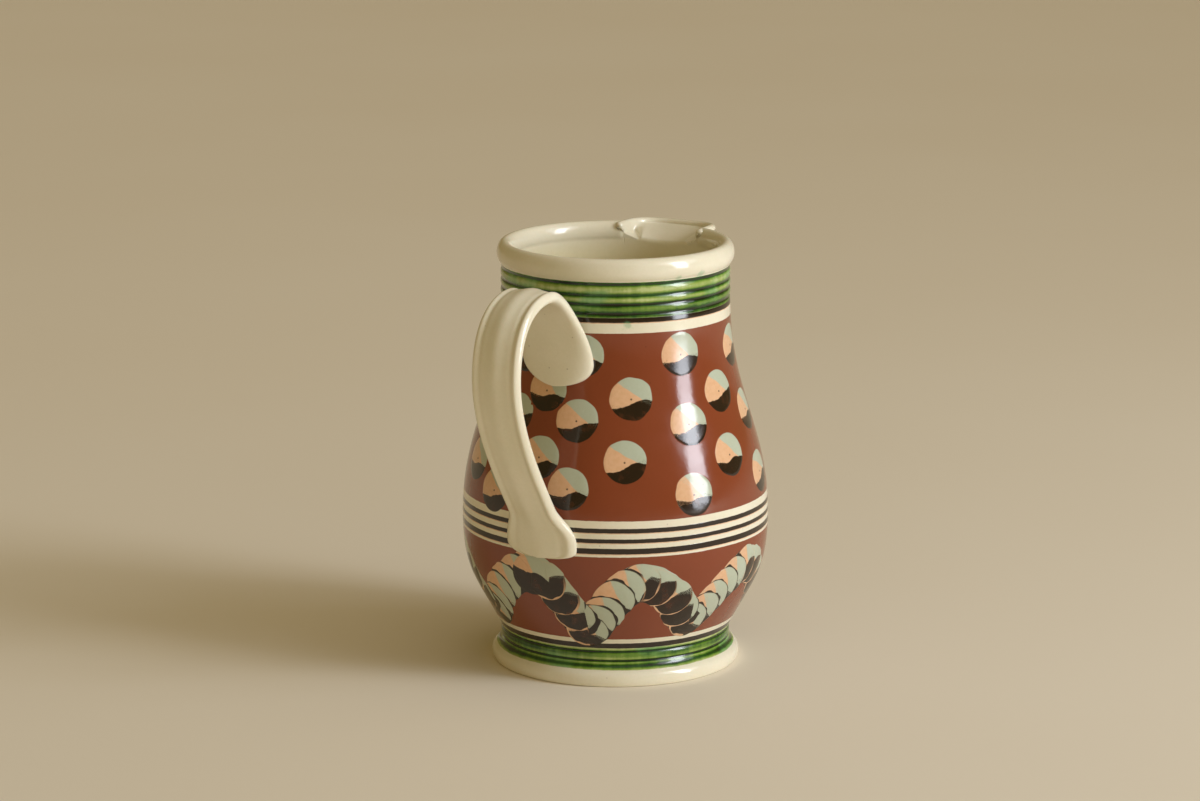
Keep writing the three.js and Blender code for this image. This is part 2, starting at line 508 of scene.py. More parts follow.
def clay_grain_group() -> bpy.types.NodeTree:
    """Clay and glaze seen close to: slow clouds, fine grain, rare specks, and an uneven glaze surface.

    Returns:
        A group with a shade to multiply a colour by, the glaze's roughness, and its height in millimetres.
    """
    bench, given, made = new_group(
        "clay_grain",
        {"Place": "Vector", "Clouds": "Float", "Specks": "Float"},
        {"Shade": "Color", "Roughness": "Float", "Height": "Float"},
    )
    place = given.outputs["Place"]
    # The clay's tone
    clouds = bench.noise(place, 55.0, detail=3.0)
    grain = bench.noise(place, 900.0, detail=2.0)
    spread = bench.times(bench.less(clouds, 0.5), given.outputs["Clouds"])
    fine = bench.times(bench.less(grain, 0.5), 0.07)
    level = bench.total(1.0, spread, fine)
    warm = bench.less(level, bench.times(bench.less(1.0, level), 0.6))
    tone = bench.node("ShaderNodeCombineColor", {0: level, 1: level, 2: warm}).outputs[0]
    # A speck in some of the cells
    cells = bench.node("ShaderNodeTexVoronoi", {"Vector": place, "Scale": 210.0}).outputs["Distance"]
    sparse = bench.step(bench.noise(place, 140.0, detail=0.0), 0.62, 0.66)
    dots = bench.times(bench.step(cells, 0.05, 0.09, 1.0, 0.0), sparse)
    specks = bench.times(dots, given.outputs["Specks"])
    shade = bench.mix(specks, tone, linear(120, 88, 60))
    # The glaze's own surface
    peel = bench.noise(place, 230.0, detail=2.0)
    swell = bench.noise(place, 60.0, detail=1.0)
    height = bench.total(bench.times(peel, 0.045), bench.times(swell, 0.2))
    bench.plug(made.inputs["Shade"], shade)
    bench.plug(made.inputs["Roughness"], bench.step(clouds, 0.3, 0.7, 0.1, 0.18))
    bench.plug(made.inputs["Height"], height)
    return bench.tree


def slip_drop_group() -> bpy.types.NodeTree:
    """A drop of three slips side by side from one cup, in a circle of radius 1.

    Blue-green lies above a straight line that falls to the right. Dark lies below a wavy line that rises
    to the right. Tan is what is left between, with a pinprick.

    Returns:
        A group with the drop's mask, colour and distance from its middle.
    """
    bench, given, made = new_group(
        "slip_drop",
        {"Place": "Vector", "Dark level": "Float", "Turn": "Float", "Pinprick": "Float"},
        {"Mask": "Float", "Colour": "Color", "Distance": "Float"},
    )
    place = given.outputs["Place"]
    # Each drop fell a little turned, by its number
    number = bench.parts(place)[2]
    seeded = bench.node("ShaderNodeTexWhiteNoise", {"W": number}, noise_dimensions="1D")
    own = bench.node("ShaderNodeSeparateColor", {0: seeded.outputs["Color"]})
    own_turn = bench.scaled(own.outputs[0], 0.36, -0.18)
    spin = bench.maths("ADD", own_turn, given.outputs["Turn"])
    turned = bench.node("ShaderNodeVectorRotate", {"Vector": place, "Angle": spin}, rotation_type="Z_AXIS")
    x, y, _ = bench.parts(turned.outputs[0])
    # Its outline, unsteady in its own way
    apart = bench.vector("MULTIPLY_ADD", place, (1.0, 1.0, 5.3), (4.0, 0.0, 0.0))
    slow = bench.less(bench.noise(apart, 1.1, detail=1.0), 0.5)
    quick = bench.less(bench.noise(apart, 5.5, detail=2.0), 0.5)
    uneven = bench.total(1.0, bench.times(slow, 0.16), bench.times(quick, 0.02))
    distance = bench.times(bench.length(place), uneven)
    mask = bench.step(distance, 0.97, 1.01, 1.0, 0.0)
    # The blue-green slip
    slant = bench.total(bench.times(x, 0.62), bench.times(y, 0.783))
    over_line = bench.total(slant, bench.times(slow, 0.22), bench.times(quick, 0.04))
    green = bench.step(over_line, 0.25, 0.29)
    # The dark slip
    rise = bench.step(x, -0.35, 0.5, 0.0, 0.26)
    lift = bench.scaled(own.outputs[1], 0.34, -0.2)
    right = bench.times(bench.step(x, 0.5, 1.0), lift)
    waves = bench.total(bench.times(slow, 0.24), bench.times(quick, 0.1))
    level = bench.total(-0.36, rise, right, waves, given.outputs["Dark level"])
    dark = bench.step(bench.less(level, y), -0.015, 0.015)
    # The pinprick near its middle
    near = bench.length(bench.vector("SUBTRACT", place, (-0.02, -0.02, 0.0)))
    hole = bench.times(bench.step(near, 0.03, 0.06, 0.85, 0.0), given.outputs["Pinprick"])
    # The three slips together
    mottled = bench.mix(bench.step(quick, -0.2, 0.3, 0.0, 0.25), Slip.TAN.value, linear(205, 150, 100))
    colour = bench.mix(green, mottled, Slip.BLUE_GREEN.value)
    thin = bench.step(bench.noise(apart, 1.7, detail=2.0, rough=0.6), 0.5, 0.72, 0.0, 0.75)
    colour = bench.mix(dark, colour, bench.mix(thin, Slip.DARK.value, linear(74, 40, 24)))
    colour = bench.mix(hole, colour, Slip.DARK.value)
    bench.plug(made.inputs["Mask"], mask)
    bench.plug(made.inputs["Colour"], colour)
    bench.plug(made.inputs["Distance"], distance)
    return bench.tree


def cable_stroke_group(drop: bpy.types.NodeTree) -> bpy.types.NodeTree:
    """One drop of the cable laid over those on its right.

    Where the cable rises, the drops under it show a dark line along the new drop's edge. Where it falls,
    the new drop keeps a thin tan line along its own edge and more of its dark slip.

    Args:
        drop: the three-slip drop.

    Returns:
        A group that lays the drop over the colour, mask and height under it.
    """
    sockets = {"Colour": "Color", "Mask": "Float", "Height": "Float"}
    bench, given, made = new_group("cable_stroke", {"Place": "Vector", "Rise": "Float", **sockets}, sockets)
    rise, place = given.outputs["Rise"], given.outputs["Place"]
    falling = bench.step(rise, -0.4, 0.2, 1.0, 0.0)
    rising = bench.less(1.0, falling)
    laid = bench.group(drop, {
        "Place": place,
        "Dark level": bench.scaled(falling, 0.42, -0.04),
        "Turn": bench.times(rising, 0.5),
        "Pinprick": 0.0,
    })
    distance = laid.outputs["Distance"]
    # The tan line along its own edge where the cable falls
    apart = bench.vector("MULTIPLY_ADD", place, (1.0, 1.0, 3.1), (0.0, 7.0, 0.0))
    uneven = bench.step(bench.noise(apart, 1.5, detail=1.0), 0.32, 0.75, 0.01, 0.11)
    upper = bench.towards(place, UP_AND_RIGHT)
    edge_start = bench.less(1.0, uneven)
    inside = bench.step(distance, bench.less(edge_start, 0.04), edge_start)
    strength = bench.times(falling, bench.step(upper, -0.1, 0.75, 1.0, 0.12))
    colour = bench.mix(bench.times(inside, strength), laid.outputs["Colour"], Slip.TAN.value)
    # The dark line on the drops under it where the cable rises, with a wedge at the lower right
    wedge = bench.step(bench.towards(place, (0.6, -0.8, 0.0)), 0.7, 1.1, 0.0, 0.2)
    edge_end = bench.total(0.99, bench.times(uneven, 1.2), wedge)
    outside = bench.step(distance, edge_end, bench.maths("ADD", edge_end, 0.04), 1.0, 0.0)
    shadow = bench.times(bench.times(outside, rising), given.outputs["Mask"])
    under = bench.mix(shadow, given.outputs["Colour"], Slip.DARK.value)
    bench.plug(made.inputs["Colour"], bench.mix(laid.outputs["Mask"], under, colour))
    bench.plug(made.inputs["Mask"], bench.either(laid.outputs["Mask"], given.outputs["Mask"]))
    dome = bench.step(distance, 0.55, 1.0, 0.2, 0.08)
    bench.plug(made.inputs["Height"], bench.mix(laid.outputs["Mask"], given.outputs["Height"], dome))
    return bench.tree


def green_glaze_group() -> bpy.types.NodeTree:
    """Green glaze over reeding: thin and pale on the ridges, pooled and dark in the grooves, in long streaks.

    Returns:
        A group with the glaze's colour.
    """
    bench, given, made = new_group("green_glaze", {"Place": "Vector", "Pool": "Float"}, {"Colour": "Color"})
    place = given.outputs["Place"]
    # How much glaze lies there
    streaks = bench.noise(bench.stretched(place, (1.0, 1.0, 7.0)), 55.0, detail=3.0, rough=0.6)
    drifts = bench.noise(bench.stretched(place, (1.0, 1.0, 0.4)), 34.0, detail=1.0)
    runs = bench.noise(bench.stretched(place, (1.0, 1.0, 0.14)), 420.0, detail=2.0)
    fine = bench.noise(place, 900.0, detail=1.0)
    tone = bench.total(
        bench.times(given.outputs["Pool"], 0.95),
        0.06,
        bench.scaled(streaks, 0.5, -0.25),
        bench.scaled(drifts, 0.4, -0.2),
        bench.scaled(runs, 0.34, -0.17),
        bench.scaled(fine, 0.1, 0.0),
    )
    stops = {0.05: Green.THIN, 0.22: Green.LEAF, 0.42: Green.MID, 0.66: Green.DEEP, 0.95: Green.POOLED}
    colour = bench.ramp(tone, [(level, green.value) for level, green in stops.items()])
    # Patches that turned towards blue
    patches = bench.noise(bench.stretched(place, (1.0, 1.0, 1.6)), 62.0, detail=1.0)
    teal = bench.times(bench.step(patches, 0.52, 0.68), bench.step(tone, 0.2, 0.62, 0.5, 0.08))
    bench.plug(made.inputs["Colour"], bench.mix(teal, colour, Green.TEAL.value))
    return bench.tree


@dataclass(frozen=True)
class Groups:
    """The node groups that the finishes share."""

    grain: bpy.types.NodeTree
    drop: bpy.types.NodeTree
    stroke: bpy.types.NodeTree
    green: bpy.types.NodeTree

    @classmethod
    def make(cls) -> "Groups":
        """Builds each group once."""
        drop = slip_drop_group()
        return cls(clay_grain_group(), drop, cable_stroke_group(drop), green_glaze_group())


def glazed(bench: Bench, colour: Plug, roughness: Plug, height: Plug) -> None:
    """Ends a material in a clear lead glaze over a colour.

    Args:
        bench: the material's bench.
        colour: the clay or slip under the glaze.
        roughness: how soft the glaze's gloss is.
        height: the surface's relief in millimetres.
    """
    bump = bench.node("ShaderNodeBump", {"Height": height, "Distance": MM, "Strength": 1.0})
    gloss = bench.node("ShaderNodeBsdfPrincipled", {
        "Base Color": colour,
        "Roughness": roughness,
        "Normal": bump.outputs[0],
        "IOR": 1.6,
        "Subsurface Weight": 0.04,
        "Subsurface Scale": 2 * MM,
    })
    output = bench.node("ShaderNodeOutputMaterial")
    bench.plug(output.inputs[0], gloss.outputs[0])


@dataclass(frozen=True)
class CreamGlaze:
    """Clear glaze over plain cream-coloured clay."""

    name: str = "cream_glaze"
    clouds: float = 0.16
    specks: float = 0.3

    def make(self, groups: Groups) -> bpy.types.Material:
        """Builds the material.

        Args:
            groups: the shared node groups.

        Returns:
            The material.
        """
        material, bench = new_material(self.name)
        place = bench.object_place()
        grain = bench.group(groups.grain, {"Place": place, "Clouds": self.clouds, "Specks": self.specks})
        colour = bench.mix(1.0, Slip.CREAM.value, grain.outputs["Shade"], "MULTIPLY")
        glazed(bench, colour, grain.outputs["Roughness"], grain.outputs["Height"])
        return material


@dataclass(frozen=True)
class SlipDecoration:
    """The body's bands, drops, cable and green reeding under a clear glaze. Heights are in millimetres."""

    name: str = "slip_decorated_body"
    brown_bands: tuple = ((18.9, 54.8), (68.8, 138.5))
    dark_lines: tuple = ((14.7, 17.0), (56.0, 58.2), (60.3, 61.9), (64.2, 65.96), (142.6, 144.5))
    green_bands: tuple = ((6.3, 14.7), (144.5, 158.2))
    smudges: tuple = (
        (240.3, 158.8, 1.8), (254.3, 158.9, 2.6), (213.8, 141.7, 2.6), (96.0, 158.6, 2.2), (30.0, 141.6, 2.4),
    )
    smudge_radius: float = 45.4
    # Heights in millimetres over which the painted shade inside the jug fades out towards the rim
    inside_shade_fade: tuple = (152.0, 165.0)
    closing_levels: tuple = (58.0, 66.0)
    bleed: float = 0.34
    bleed_strength: float = 0.8
    brown_height: float = 0.03
    dark_height: float = 0.05
    cable_height: float = 0.06
    clouds: float = 0.14
    specks: float = 0.25
    wobble: float = 0.5
    soft: float = 0.1
    strokes: int = 5

    def make(self, groups: Groups) -> bpy.types.Material:
        """Builds the material.

        Args:
            groups: the shared node groups.

        Returns:
            The material.
        """
        material, bench = new_material(self.name)
        place = bench.object_place()
        outside, pool, rise = bench.parts(bench.mark("skin"))
        height = self.wobbling(bench, place)
        grain = bench.group(groups.grain, {"Place": place, "Clouds": self.clouds, "Specks": self.specks})
        # The turned bands, with tan bleeding at the dark lines' lower edges
        cream = Slip.CREAM.value
        brown = self.covered(bench, height, self.brown_bands)
        colour = bench.mix(brown, cream, Slip.RED_BROWN.value)
        edges = tuple((low - self.bleed, low + self.bleed) for low, _ in self.dark_lines[1:])
        bleeds = bench.times(self.covered(bench, height, edges), self.bleed_strength)
        colour = bench.mix(bleeds, colour, Slip.TAN.value)
        dark = self.covered(bench, height, self.dark_lines)
        colour = bench.mix(dark, colour, Slip.DARK.value)
        # What was laid over them
        colour = self.greened(bench, groups, place, height, pool, colour)
        colour, raised = self.cabled(bench, groups, place, rise, colour)
        colour, raised = self.dropped(bench, groups, height, colour, raised)
        # The bare inside, yellower further down as painted shade and bounced light, and the clay's grain over
        # all
        inside = bench.mix(bench.step(height, *self.inside_shade_fade, 1.0, 0.0), cream, Slip.CREAM_INSIDE_PAINTED_SHADE.value)
        colour = bench.mix(outside, inside, colour)
        colour = bench.mix(1.0, colour, grain.outputs["Shade"], "MULTIPLY")
        slip_height = bench.total(
            bench.times(brown, self.brown_height),
            bench.times(dark, self.dark_height),
            raised,
        )
        relief = bench.total(bench.times(slip_height, outside), grain.outputs["Height"])
        glazed(bench, colour, grain.outputs["Roughness"], relief)
        return material

    def wobbling(self, bench: Bench, place: Socket) -> Socket:
        """The height in millimetres, unsteady as a brush line round a turning jug is.

        Args:
            bench: the material's bench.
            place: the place on the piece.

        Returns:
            The height.
        """
        level = bench.parts(place)[2]
        round_jug = bench.stretched(place, (1.0, 1.0, 0.35))
        slow = bench.less(bench.noise(round_jug, 32.0, detail=1.0), 0.5)
        quick = bench.less(bench.noise(place, 420.0, detail=2.0), 0.5)
        drift = bench.total(bench.times(slow, self.wobble), bench.times(quick, 0.22))
        return bench.maths("ADD", bench.maths("DIVIDE", level, MM), drift)

    def covered(self, bench: Bench, height: Socket, bands: tuple) -> Socket:
        """A mask of several bands."""
        return bench.either(*(bench.band(height, low, high, self.soft) for low, high in bands))

    def greened(
        self, bench: Bench, groups: Groups, place: Socket, height: Socket, pool: Socket, colour: Socket
    ) -> Socket:
        """Lays the green glaze over the reeded bands, with a few smudges beyond them.

        Args:
            bench: the material's bench.
            groups: the shared node groups.
            place: the place on the piece.
            height: the height in millimetres.
            pool: how deep the glaze lies.
            colour: the colour under it.

        Returns:
            The colour with the glaze.
        """
        glaze = bench.group(groups.green, {"Place": place, "Pool": pool})
        green = self.covered(bench, height, self.green_bands)
        drift = bench.scaled(bench.noise(place, 500.0, detail=2.0), 1.6, -0.8)
        for azimuth, level, size in self.smudges:
            turn, radius = math.radians(azimuth), self.smudge_radius
            centre = (radius * math.cos(turn) * MM, radius * math.sin(turn) * MM, level * MM)
            apart = bench.node("ShaderNodeVectorMath", {0: place, 1: centre}, operation="DISTANCE")
            reach = bench.maths("ADD", bench.maths("DIVIDE", apart.outputs["Value"], size * MM), drift)
            colour = bench.mix(bench.step(reach, 0.2, 1.0, 0.4, 0.0), colour, Green.TEAL.value)
        return bench.mix(green, colour, glaze.outputs["Colour"])

    def dropped(
        self, bench: Bench, groups: Groups, height: Socket, colour: Socket, raised: Socket
    ) -> tuple[Socket, Socket]:
        """Lays the single drops over the upper field, and the one that closes the cable.

        Args:
            bench: the material's bench.
            groups: the shared node groups.
            height: the height in millimetres.
            colour: the colour under the drops.
            raised: the slip's height under them.

        Returns:
            The colour and the height with the drops.
        """
        low = bench.step(height, *self.closing_levels, 1.0, 0.0)
        drop = bench.group(groups.drop, {
            "Place": bench.mark("drop"),
            "Dark level": bench.times(low, 0.4),
            "Turn": bench.times(low, 0.45),
            "Pinprick": 1.0,
        })
        colour = bench.mix(drop.outputs["Mask"], colour, drop.outputs["Colour"])
        dome = bench.step(drop.outputs["Distance"], 0.86, 1.04, 0.09, 0.0)
        return colour, bench.maths("ADD", raised, dome)

    def cabled(
        self, bench: Bench, groups: Groups, place: Socket, rise: Socket, colour: Socket
    ) -> tuple[Socket, Socket]:
        """Lays the cable's drops, each over those on its right, round the lower field.

        Args:
            bench: the material's bench.
            groups: the shared node groups.
            place: the place on the piece.
            rise: how steeply the cable's line rises there.
            colour: the colour under the cable.

        Returns:
            The colour and the slip's height with the cable.
        """
        apart, above, _ = bench.parts(bench.mark("ribbon"))
        drift = bench.noise(place, 170.0, detail=1.0)
        reach = bench.maths("ADD", apart, bench.scaled(drift, 0.12, -0.06))
        upper = bench.step(bench.maths("ADD", above, drift), 0.45, 0.6)
        worm = bench.mix(upper, Slip.DARK.value, Slip.BLUE_GREEN.value)
        mask, height = bench.step(reach, 0.9, 0.93, 1.0, 0.0), self.cable_height
        for number in range(self.strokes):
            laid = bench.mark(f"stroke_{number}")
            plugs = {"Place": laid, "Rise": rise, "Colour": worm, "Mask": mask, "Height": height}
            stroke = bench.group(groups.stroke, plugs)
            worm, mask, height = (stroke.outputs[name] for name in ("Colour", "Mask", "Height"))
        mask = bench.times(mask, bench.step(reach, 0.99, 1.02, 1.0, 0.0))
        colour = bench.mix(mask, colour, worm)
        return colour, bench.times(height, mask)


# The jug's form


@dataclass
class Outline:
    """The turned profile of the body, as distances from the axis and heights."""

    height: float
    belly_radius: float
    belly_height: float = 58.5
    neck_radius: float = 44.75
    cove_radius: float = 45.1
    foot_radius: float = 48.8
    foot_height: float = 6.3
    foot_edge: float = 1.1
    wall: float = 4.2
    floor: float = 7.0
    floor_fillet: float = 13.0
    pole: float = 1.2
    rim_half_width: float = 3.1
    rim_half_height: float = 4.6
    rim_overhang: float = 0.5
    reeding_gap: float = 4.2
    reeding_rows: int = 52
    cove_rows: int = 30
    groove_depth: float = 0.45
    neck_grooves: tuple = (156.9, 153.0, 149.5, 145.9)
    neck_groove_width: float = 2.1
    cove_grooves: tuple = (13.1, 9.6)
    cove_groove_width: float = 1.5
    pools: tuple = (
        (157.4, 0.9, 0.85), (153.0, 0.95, 0.75), (149.5, 0.9, 0.85), (147.4, 1.2, 0.3), (145.8, 1.0, 0.8),
        (13.3, 0.6, 0.8), (11.8, 1.3, 0.5), (9.6, 0.4, 1.1), (7.7, 0.85, 0.8),
    )
    cove_start: float = 9.4
    cove_top: float = 15.0
    cove_flare: float = 0.5
    neck_start: float = 145.1
    start_pull: tuple = (9.3, 18.0)
    belly_pulls: tuple = (22.4, 34.5)
    neck_pull: float = 39.0

    @classmethod
    def from_frame(cls) -> "Outline":
        """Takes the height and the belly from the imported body."""
        low, high = (np.array(corner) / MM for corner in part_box("body"))
        return cls(height=float(high[2] - low[2]), belly_radius=float(high[1] - low[1]) / 2)

    @property
    def rim_centre(self) -> tuple[float, float]:
        """The middle of the rolled rim's section."""
        radius = self.neck_radius - self.wall + self.rim_half_width - self.rim_overhang
        return radius, self.height - self.rim_half_height

    def groove(self, level: Array) -> Array:
        """How deep a height lies in a turned groove: 1 in its middle, falling off as a bell curve.

        Args:
            level: the height.

        Returns:
            The depth.
        """
        widths = [(at, self.neck_groove_width) for at in self.neck_grooves]
        widths += [(at, self.cove_groove_width) for at in self.cove_grooves]
        return sum(np.exp(-(((level - at) / (0.36 * width)) ** 2)) for at, width in widths)

    def pool(self, level: Array) -> Array:
        """How deep the green glaze lies at a height: the sum of its pools, each a bell curve."""
        return sum(depth * np.exp(-(((level - at) / spread) ** 2)) for at, spread, depth in self.pools)

    def underside(self) -> Array:
        """The flat underside, from near the axis to the foot's rounded edge."""
        radii = np.linspace(self.pole, self.foot_radius - self.foot_edge, 8)[:-1]
        return np.stack([radii, np.zeros_like(radii)], 1)

    def foot(self) -> Array:
        """The foot's rounded edge and its shoulder up to the cove.

        Returns:
            The points.
        """
        middle = self.foot_height / 2
        edge = ellipse((self.foot_radius - self.foot_edge, middle), (self.foot_edge, middle), -90, 0, 10)
        shoulder = cubic(
            (self.foot_radius, middle), (self.foot_radius, self.foot_height),
            (self.cove_radius, self.foot_height), (self.cove_radius, self.cove_start), 16,
        )
        return np.concatenate([edge, shoulder[1:]])

    def belly(self, lower: int, upper: int) -> Array:
        """The belly's two curves, upright at the widest point and at the neck.

        Args:
            lower, upper: how many points they have.

        Returns:
            The points, from the cove to the neck.
        """
        start, widest = self.cove_radius + self.cove_flare, (self.belly_radius, self.belly_height)
        below = cubic(
            (start, self.cove_top), (start + self.start_pull[0], self.cove_top + self.start_pull[1]),
            (self.belly_radius, self.belly_height - self.belly_pulls[0]), widest, lower,
        )
        above = cubic(
            widest, (self.belly_radius, self.belly_height + self.belly_pulls[1]),
            (self.neck_radius, self.neck_start - self.neck_pull), (self.neck_radius, self.neck_start), upper,
        )
        return np.concatenate([below, above[1:]])

    def outer(self) -> Array:
        """From the ring under the foot to the rim's crest.

        Returns:
            The points, with the turned grooves cut in.
        """
        climb = np.linspace(0, 1, self.cove_rows)
        cove = np.stack([
            self.cove_radius + self.cove_flare * climb**4,
            self.cove_start + (self.cove_top - self.cove_start) * climb,
        ], 1)
        reeded = np.stack([
            np.full(self.reeding_rows, self.neck_radius),
            np.linspace(self.neck_start, self.rim_centre[1] - self.reeding_gap, self.reeding_rows),
        ], 1)
        join = math.degrees(math.acos((self.neck_radius - self.rim_centre[0]) / self.rim_half_width))
        rim = ellipse(self.rim_centre, (self.rim_half_width, self.rim_half_height), -join, 90, 26)
        line = np.concatenate([self.foot(), cove[1:], self.belly(36, 46)[1:], reeded[1:], rim])
        line[:, 0] -= self.groove_depth * self.groove(line[:, 1])
        return line

    def inner(self) -> Array:
        """From the rim's crest down the inside to the floor's middle.

        Returns:
            The points.
        """
        neck = self.neck_radius - self.wall
        join = math.degrees(math.acos((self.rim_centre[0] - neck) / self.rim_half_width))
        rim = ellipse(self.rim_centre, (self.rim_half_width, self.rim_half_height), 90, 180 + join, 16)
        belly = self.belly(18, 24)
        along = np.gradient(belly, axis=0)
        along /= np.linalg.norm(along, axis=1)[:, None]
        inside = belly + self.wall * np.stack([-along[:, 1], along[:, 0]], 1)
        inside = inside[inside[:, 1] > self.floor + self.floor_fillet][::-1]
        slope = (inside[-2] - inside[-1]) / (inside[-2, 1] - inside[-1, 1])
        corner = inside[-1] - slope * (inside[-1, 1] - self.floor)
        edge = corner - (self.floor_fillet, 0)
        bend = cubic(inside[-1], (inside[-1] + 2 * corner) / 3, (edge + 2 * corner) / 3, edge, 12)
        middle = np.array([[edge[0] * 0.5, self.floor], [self.pole, self.floor]])
        throat = np.linspace(rim[-1], inside[0], 24)[1:-1]
        return np.concatenate([rim[1:], throat, inside, bend[1:], middle])


@dataclass
class Drops:
    """Where the three-slip drops fall: columns of three and of two round the shoulder, and the cable.

    Azimuths are degrees to the right of the side that was photographed. Its own drops lie where the hand
    left them, and the columns behind carry on in the same rhythm. One more drop closes the cable.
    """

    front: float = 208.3
    radius: float = 8.35
    seen: tuple = (
        ((-69.5, 113.0), (-69.1, 84.4)),
        ((-48.0, 129.5), (-48.0, 105.4), (-52.3, 75.4)),
        ((-32.7, 115.7), (-31.7, 91.0)),
        ((-16.0, 129.8), (-16.8, 105.5), (-18.3, 80.4)),
        ((7.3, 113.9), (3.8, 90.8)),
        ((33.2, 129.3), (33.2, 103.1), (31.1, 77.1)),
        ((54.8, 112.9), (52.2, 89.2)),
        ((75.5, 127.7), (77.3, 102.3), (74.8, 78.4)),
    )
    closing: tuple = ((-33.6, 45.0),)
    hidden_columns: int = 8
    heights_of_three: tuple = (129.3, 104.0, 78.0)
    heights_of_two: tuple = (114.2, 90.3)
    unsteady: float = 1.3
    unsteady_strokes: float = 0.35
    stroke_radius: float = 8.3
    crests: tuple = (
        (-88.0, 46.0), (-34.0, 47.3), (8.6, 44.8), (57.6, 44.8), (110.0, 46.0), (162.0, 46.5), (216.0, 45.5),
    )
    troughs: tuple = (
        (-64.0, 23.5), (-12.3, 20.9), (33.4, 23.9), (84.0, 22.5), (135.5, 21.8), (188.0, 22.8), (243.0, 22.0),
    )
    single_levels: tuple = (30.0, 141.0)
    cable_levels: tuple = (8.0, 62.0)
    overlaps: int = 5
    points_per_drop: int = 20
    drops_falling: int = 4
    drops_rising: int = 5
    turn_softness: float = 0.42
    path_radius: float = 55.0
    seed: int = 7

    def singles(self) -> Array:
        """The single drops.

        Returns:
            Each one's azimuth from +X in degrees, height and number.
        """
        chance = np.random.default_rng(self.seed)
        places = [place for column in (*self.seen, self.closing) for place in column]
        first, last = self.seen[-1][0][0], self.seen[0][0][0] + 360
        for number in range(1, self.hidden_columns + 1):
            turn = first + (last - first) * number / (self.hidden_columns + 1)
            for level in self.heights_of_two if number % 2 else self.heights_of_three:
                shift = chance.normal(0, self.unsteady, 2)
                places.append((turn + shift[0], level + shift[1] * 0.7))
        places = np.array(places)
        return np.column_stack([places[:, 0] + self.front, places[:, 1], np.arange(len(places)) + 1.0])

    def cable_line(self) -> Array:
        """The cable's zigzag: broad crests and sharp troughs, as azimuths and heights.

        From a trough at 0 to a crest at 1, a fall follows a quarter sine, and a rise lies between that
        and a straight line. A bell-shaped average then rounds the turns.

        Returns:
            Points a twentieth of a drop apart, from the first crest once round.
        """
        fine = self.points_per_drop
        turns, levels = [], []
        for number, (crest, trough) in enumerate(zip(self.crests, self.troughs)):
            following = self.crests[(number + 1) % len(self.crests)]
            ahead = following[0] + (360 if following[0] < trough[0] else 0)
            down = np.arange(self.drops_falling * fine) / (self.drops_falling * fine)
            up = np.arange(self.drops_rising * fine) / (self.drops_rising * fine)
            turns += [crest[0] + (trough[0] - crest[0]) * down, trough[0] + (ahead - trough[0]) * up]
            levels.append(trough[1] + (crest[1] - trough[1]) * np.cos(down * math.pi / 2))
            climb = 0.5 * up + 0.5 * np.sin(up * math.pi / 2)
            levels.append(trough[1] + (following[1] - trough[1]) * climb)
        turn, level = np.concatenate(turns), np.concatenate(levels)
        kernel = np.exp(-((np.arange(-2 * fine, 2 * fine + 1) / fine / self.turn_softness) ** 2))
        kernel /= kernel.sum()
        around = np.concatenate([turn - 360, turn, turn + 360])
        middle = slice(len(turn), 2 * len(turn))
        rounded = [np.convolve(line, kernel, "same")[middle] for line in (around, np.tile(level, 3))]
        return np.stack([rounded[0] + self.front, rounded[1]], 1)

    def strokes(self) -> Array:
        """The cable's drops, evenly spaced on each run.

        Returns:
            Each one's azimuth from +X in degrees, height and number.
        """
        chance = np.random.default_rng(self.seed + 1)
        line = self.cable_line()
        flat = line * (math.radians(1) * self.path_radius, 1)
        fine, start, places = self.points_per_drop, 0, []
        for count in (self.drops_falling, self.drops_rising) * len(self.crests):
            stretch = np.arange(start, start + count * fine + 1) % len(line)
            run = flat[stretch]
            wrapped = (np.diff(run[:, 0], prepend=run[0, 0]) < -self.path_radius).cumsum()
            run[:, 0] += wrapped * FULL_TURN * self.path_radius
            places.append(spaced(run, np.arange(count) / count))
            start += count * fine
        picked = np.concatenate(places) / (math.radians(1) * self.path_radius, 1)
        shift = chance.normal(0, self.unsteady_strokes, picked.shape)
        return np.column_stack([picked + shift, np.arange(len(picked)) + 101.0])


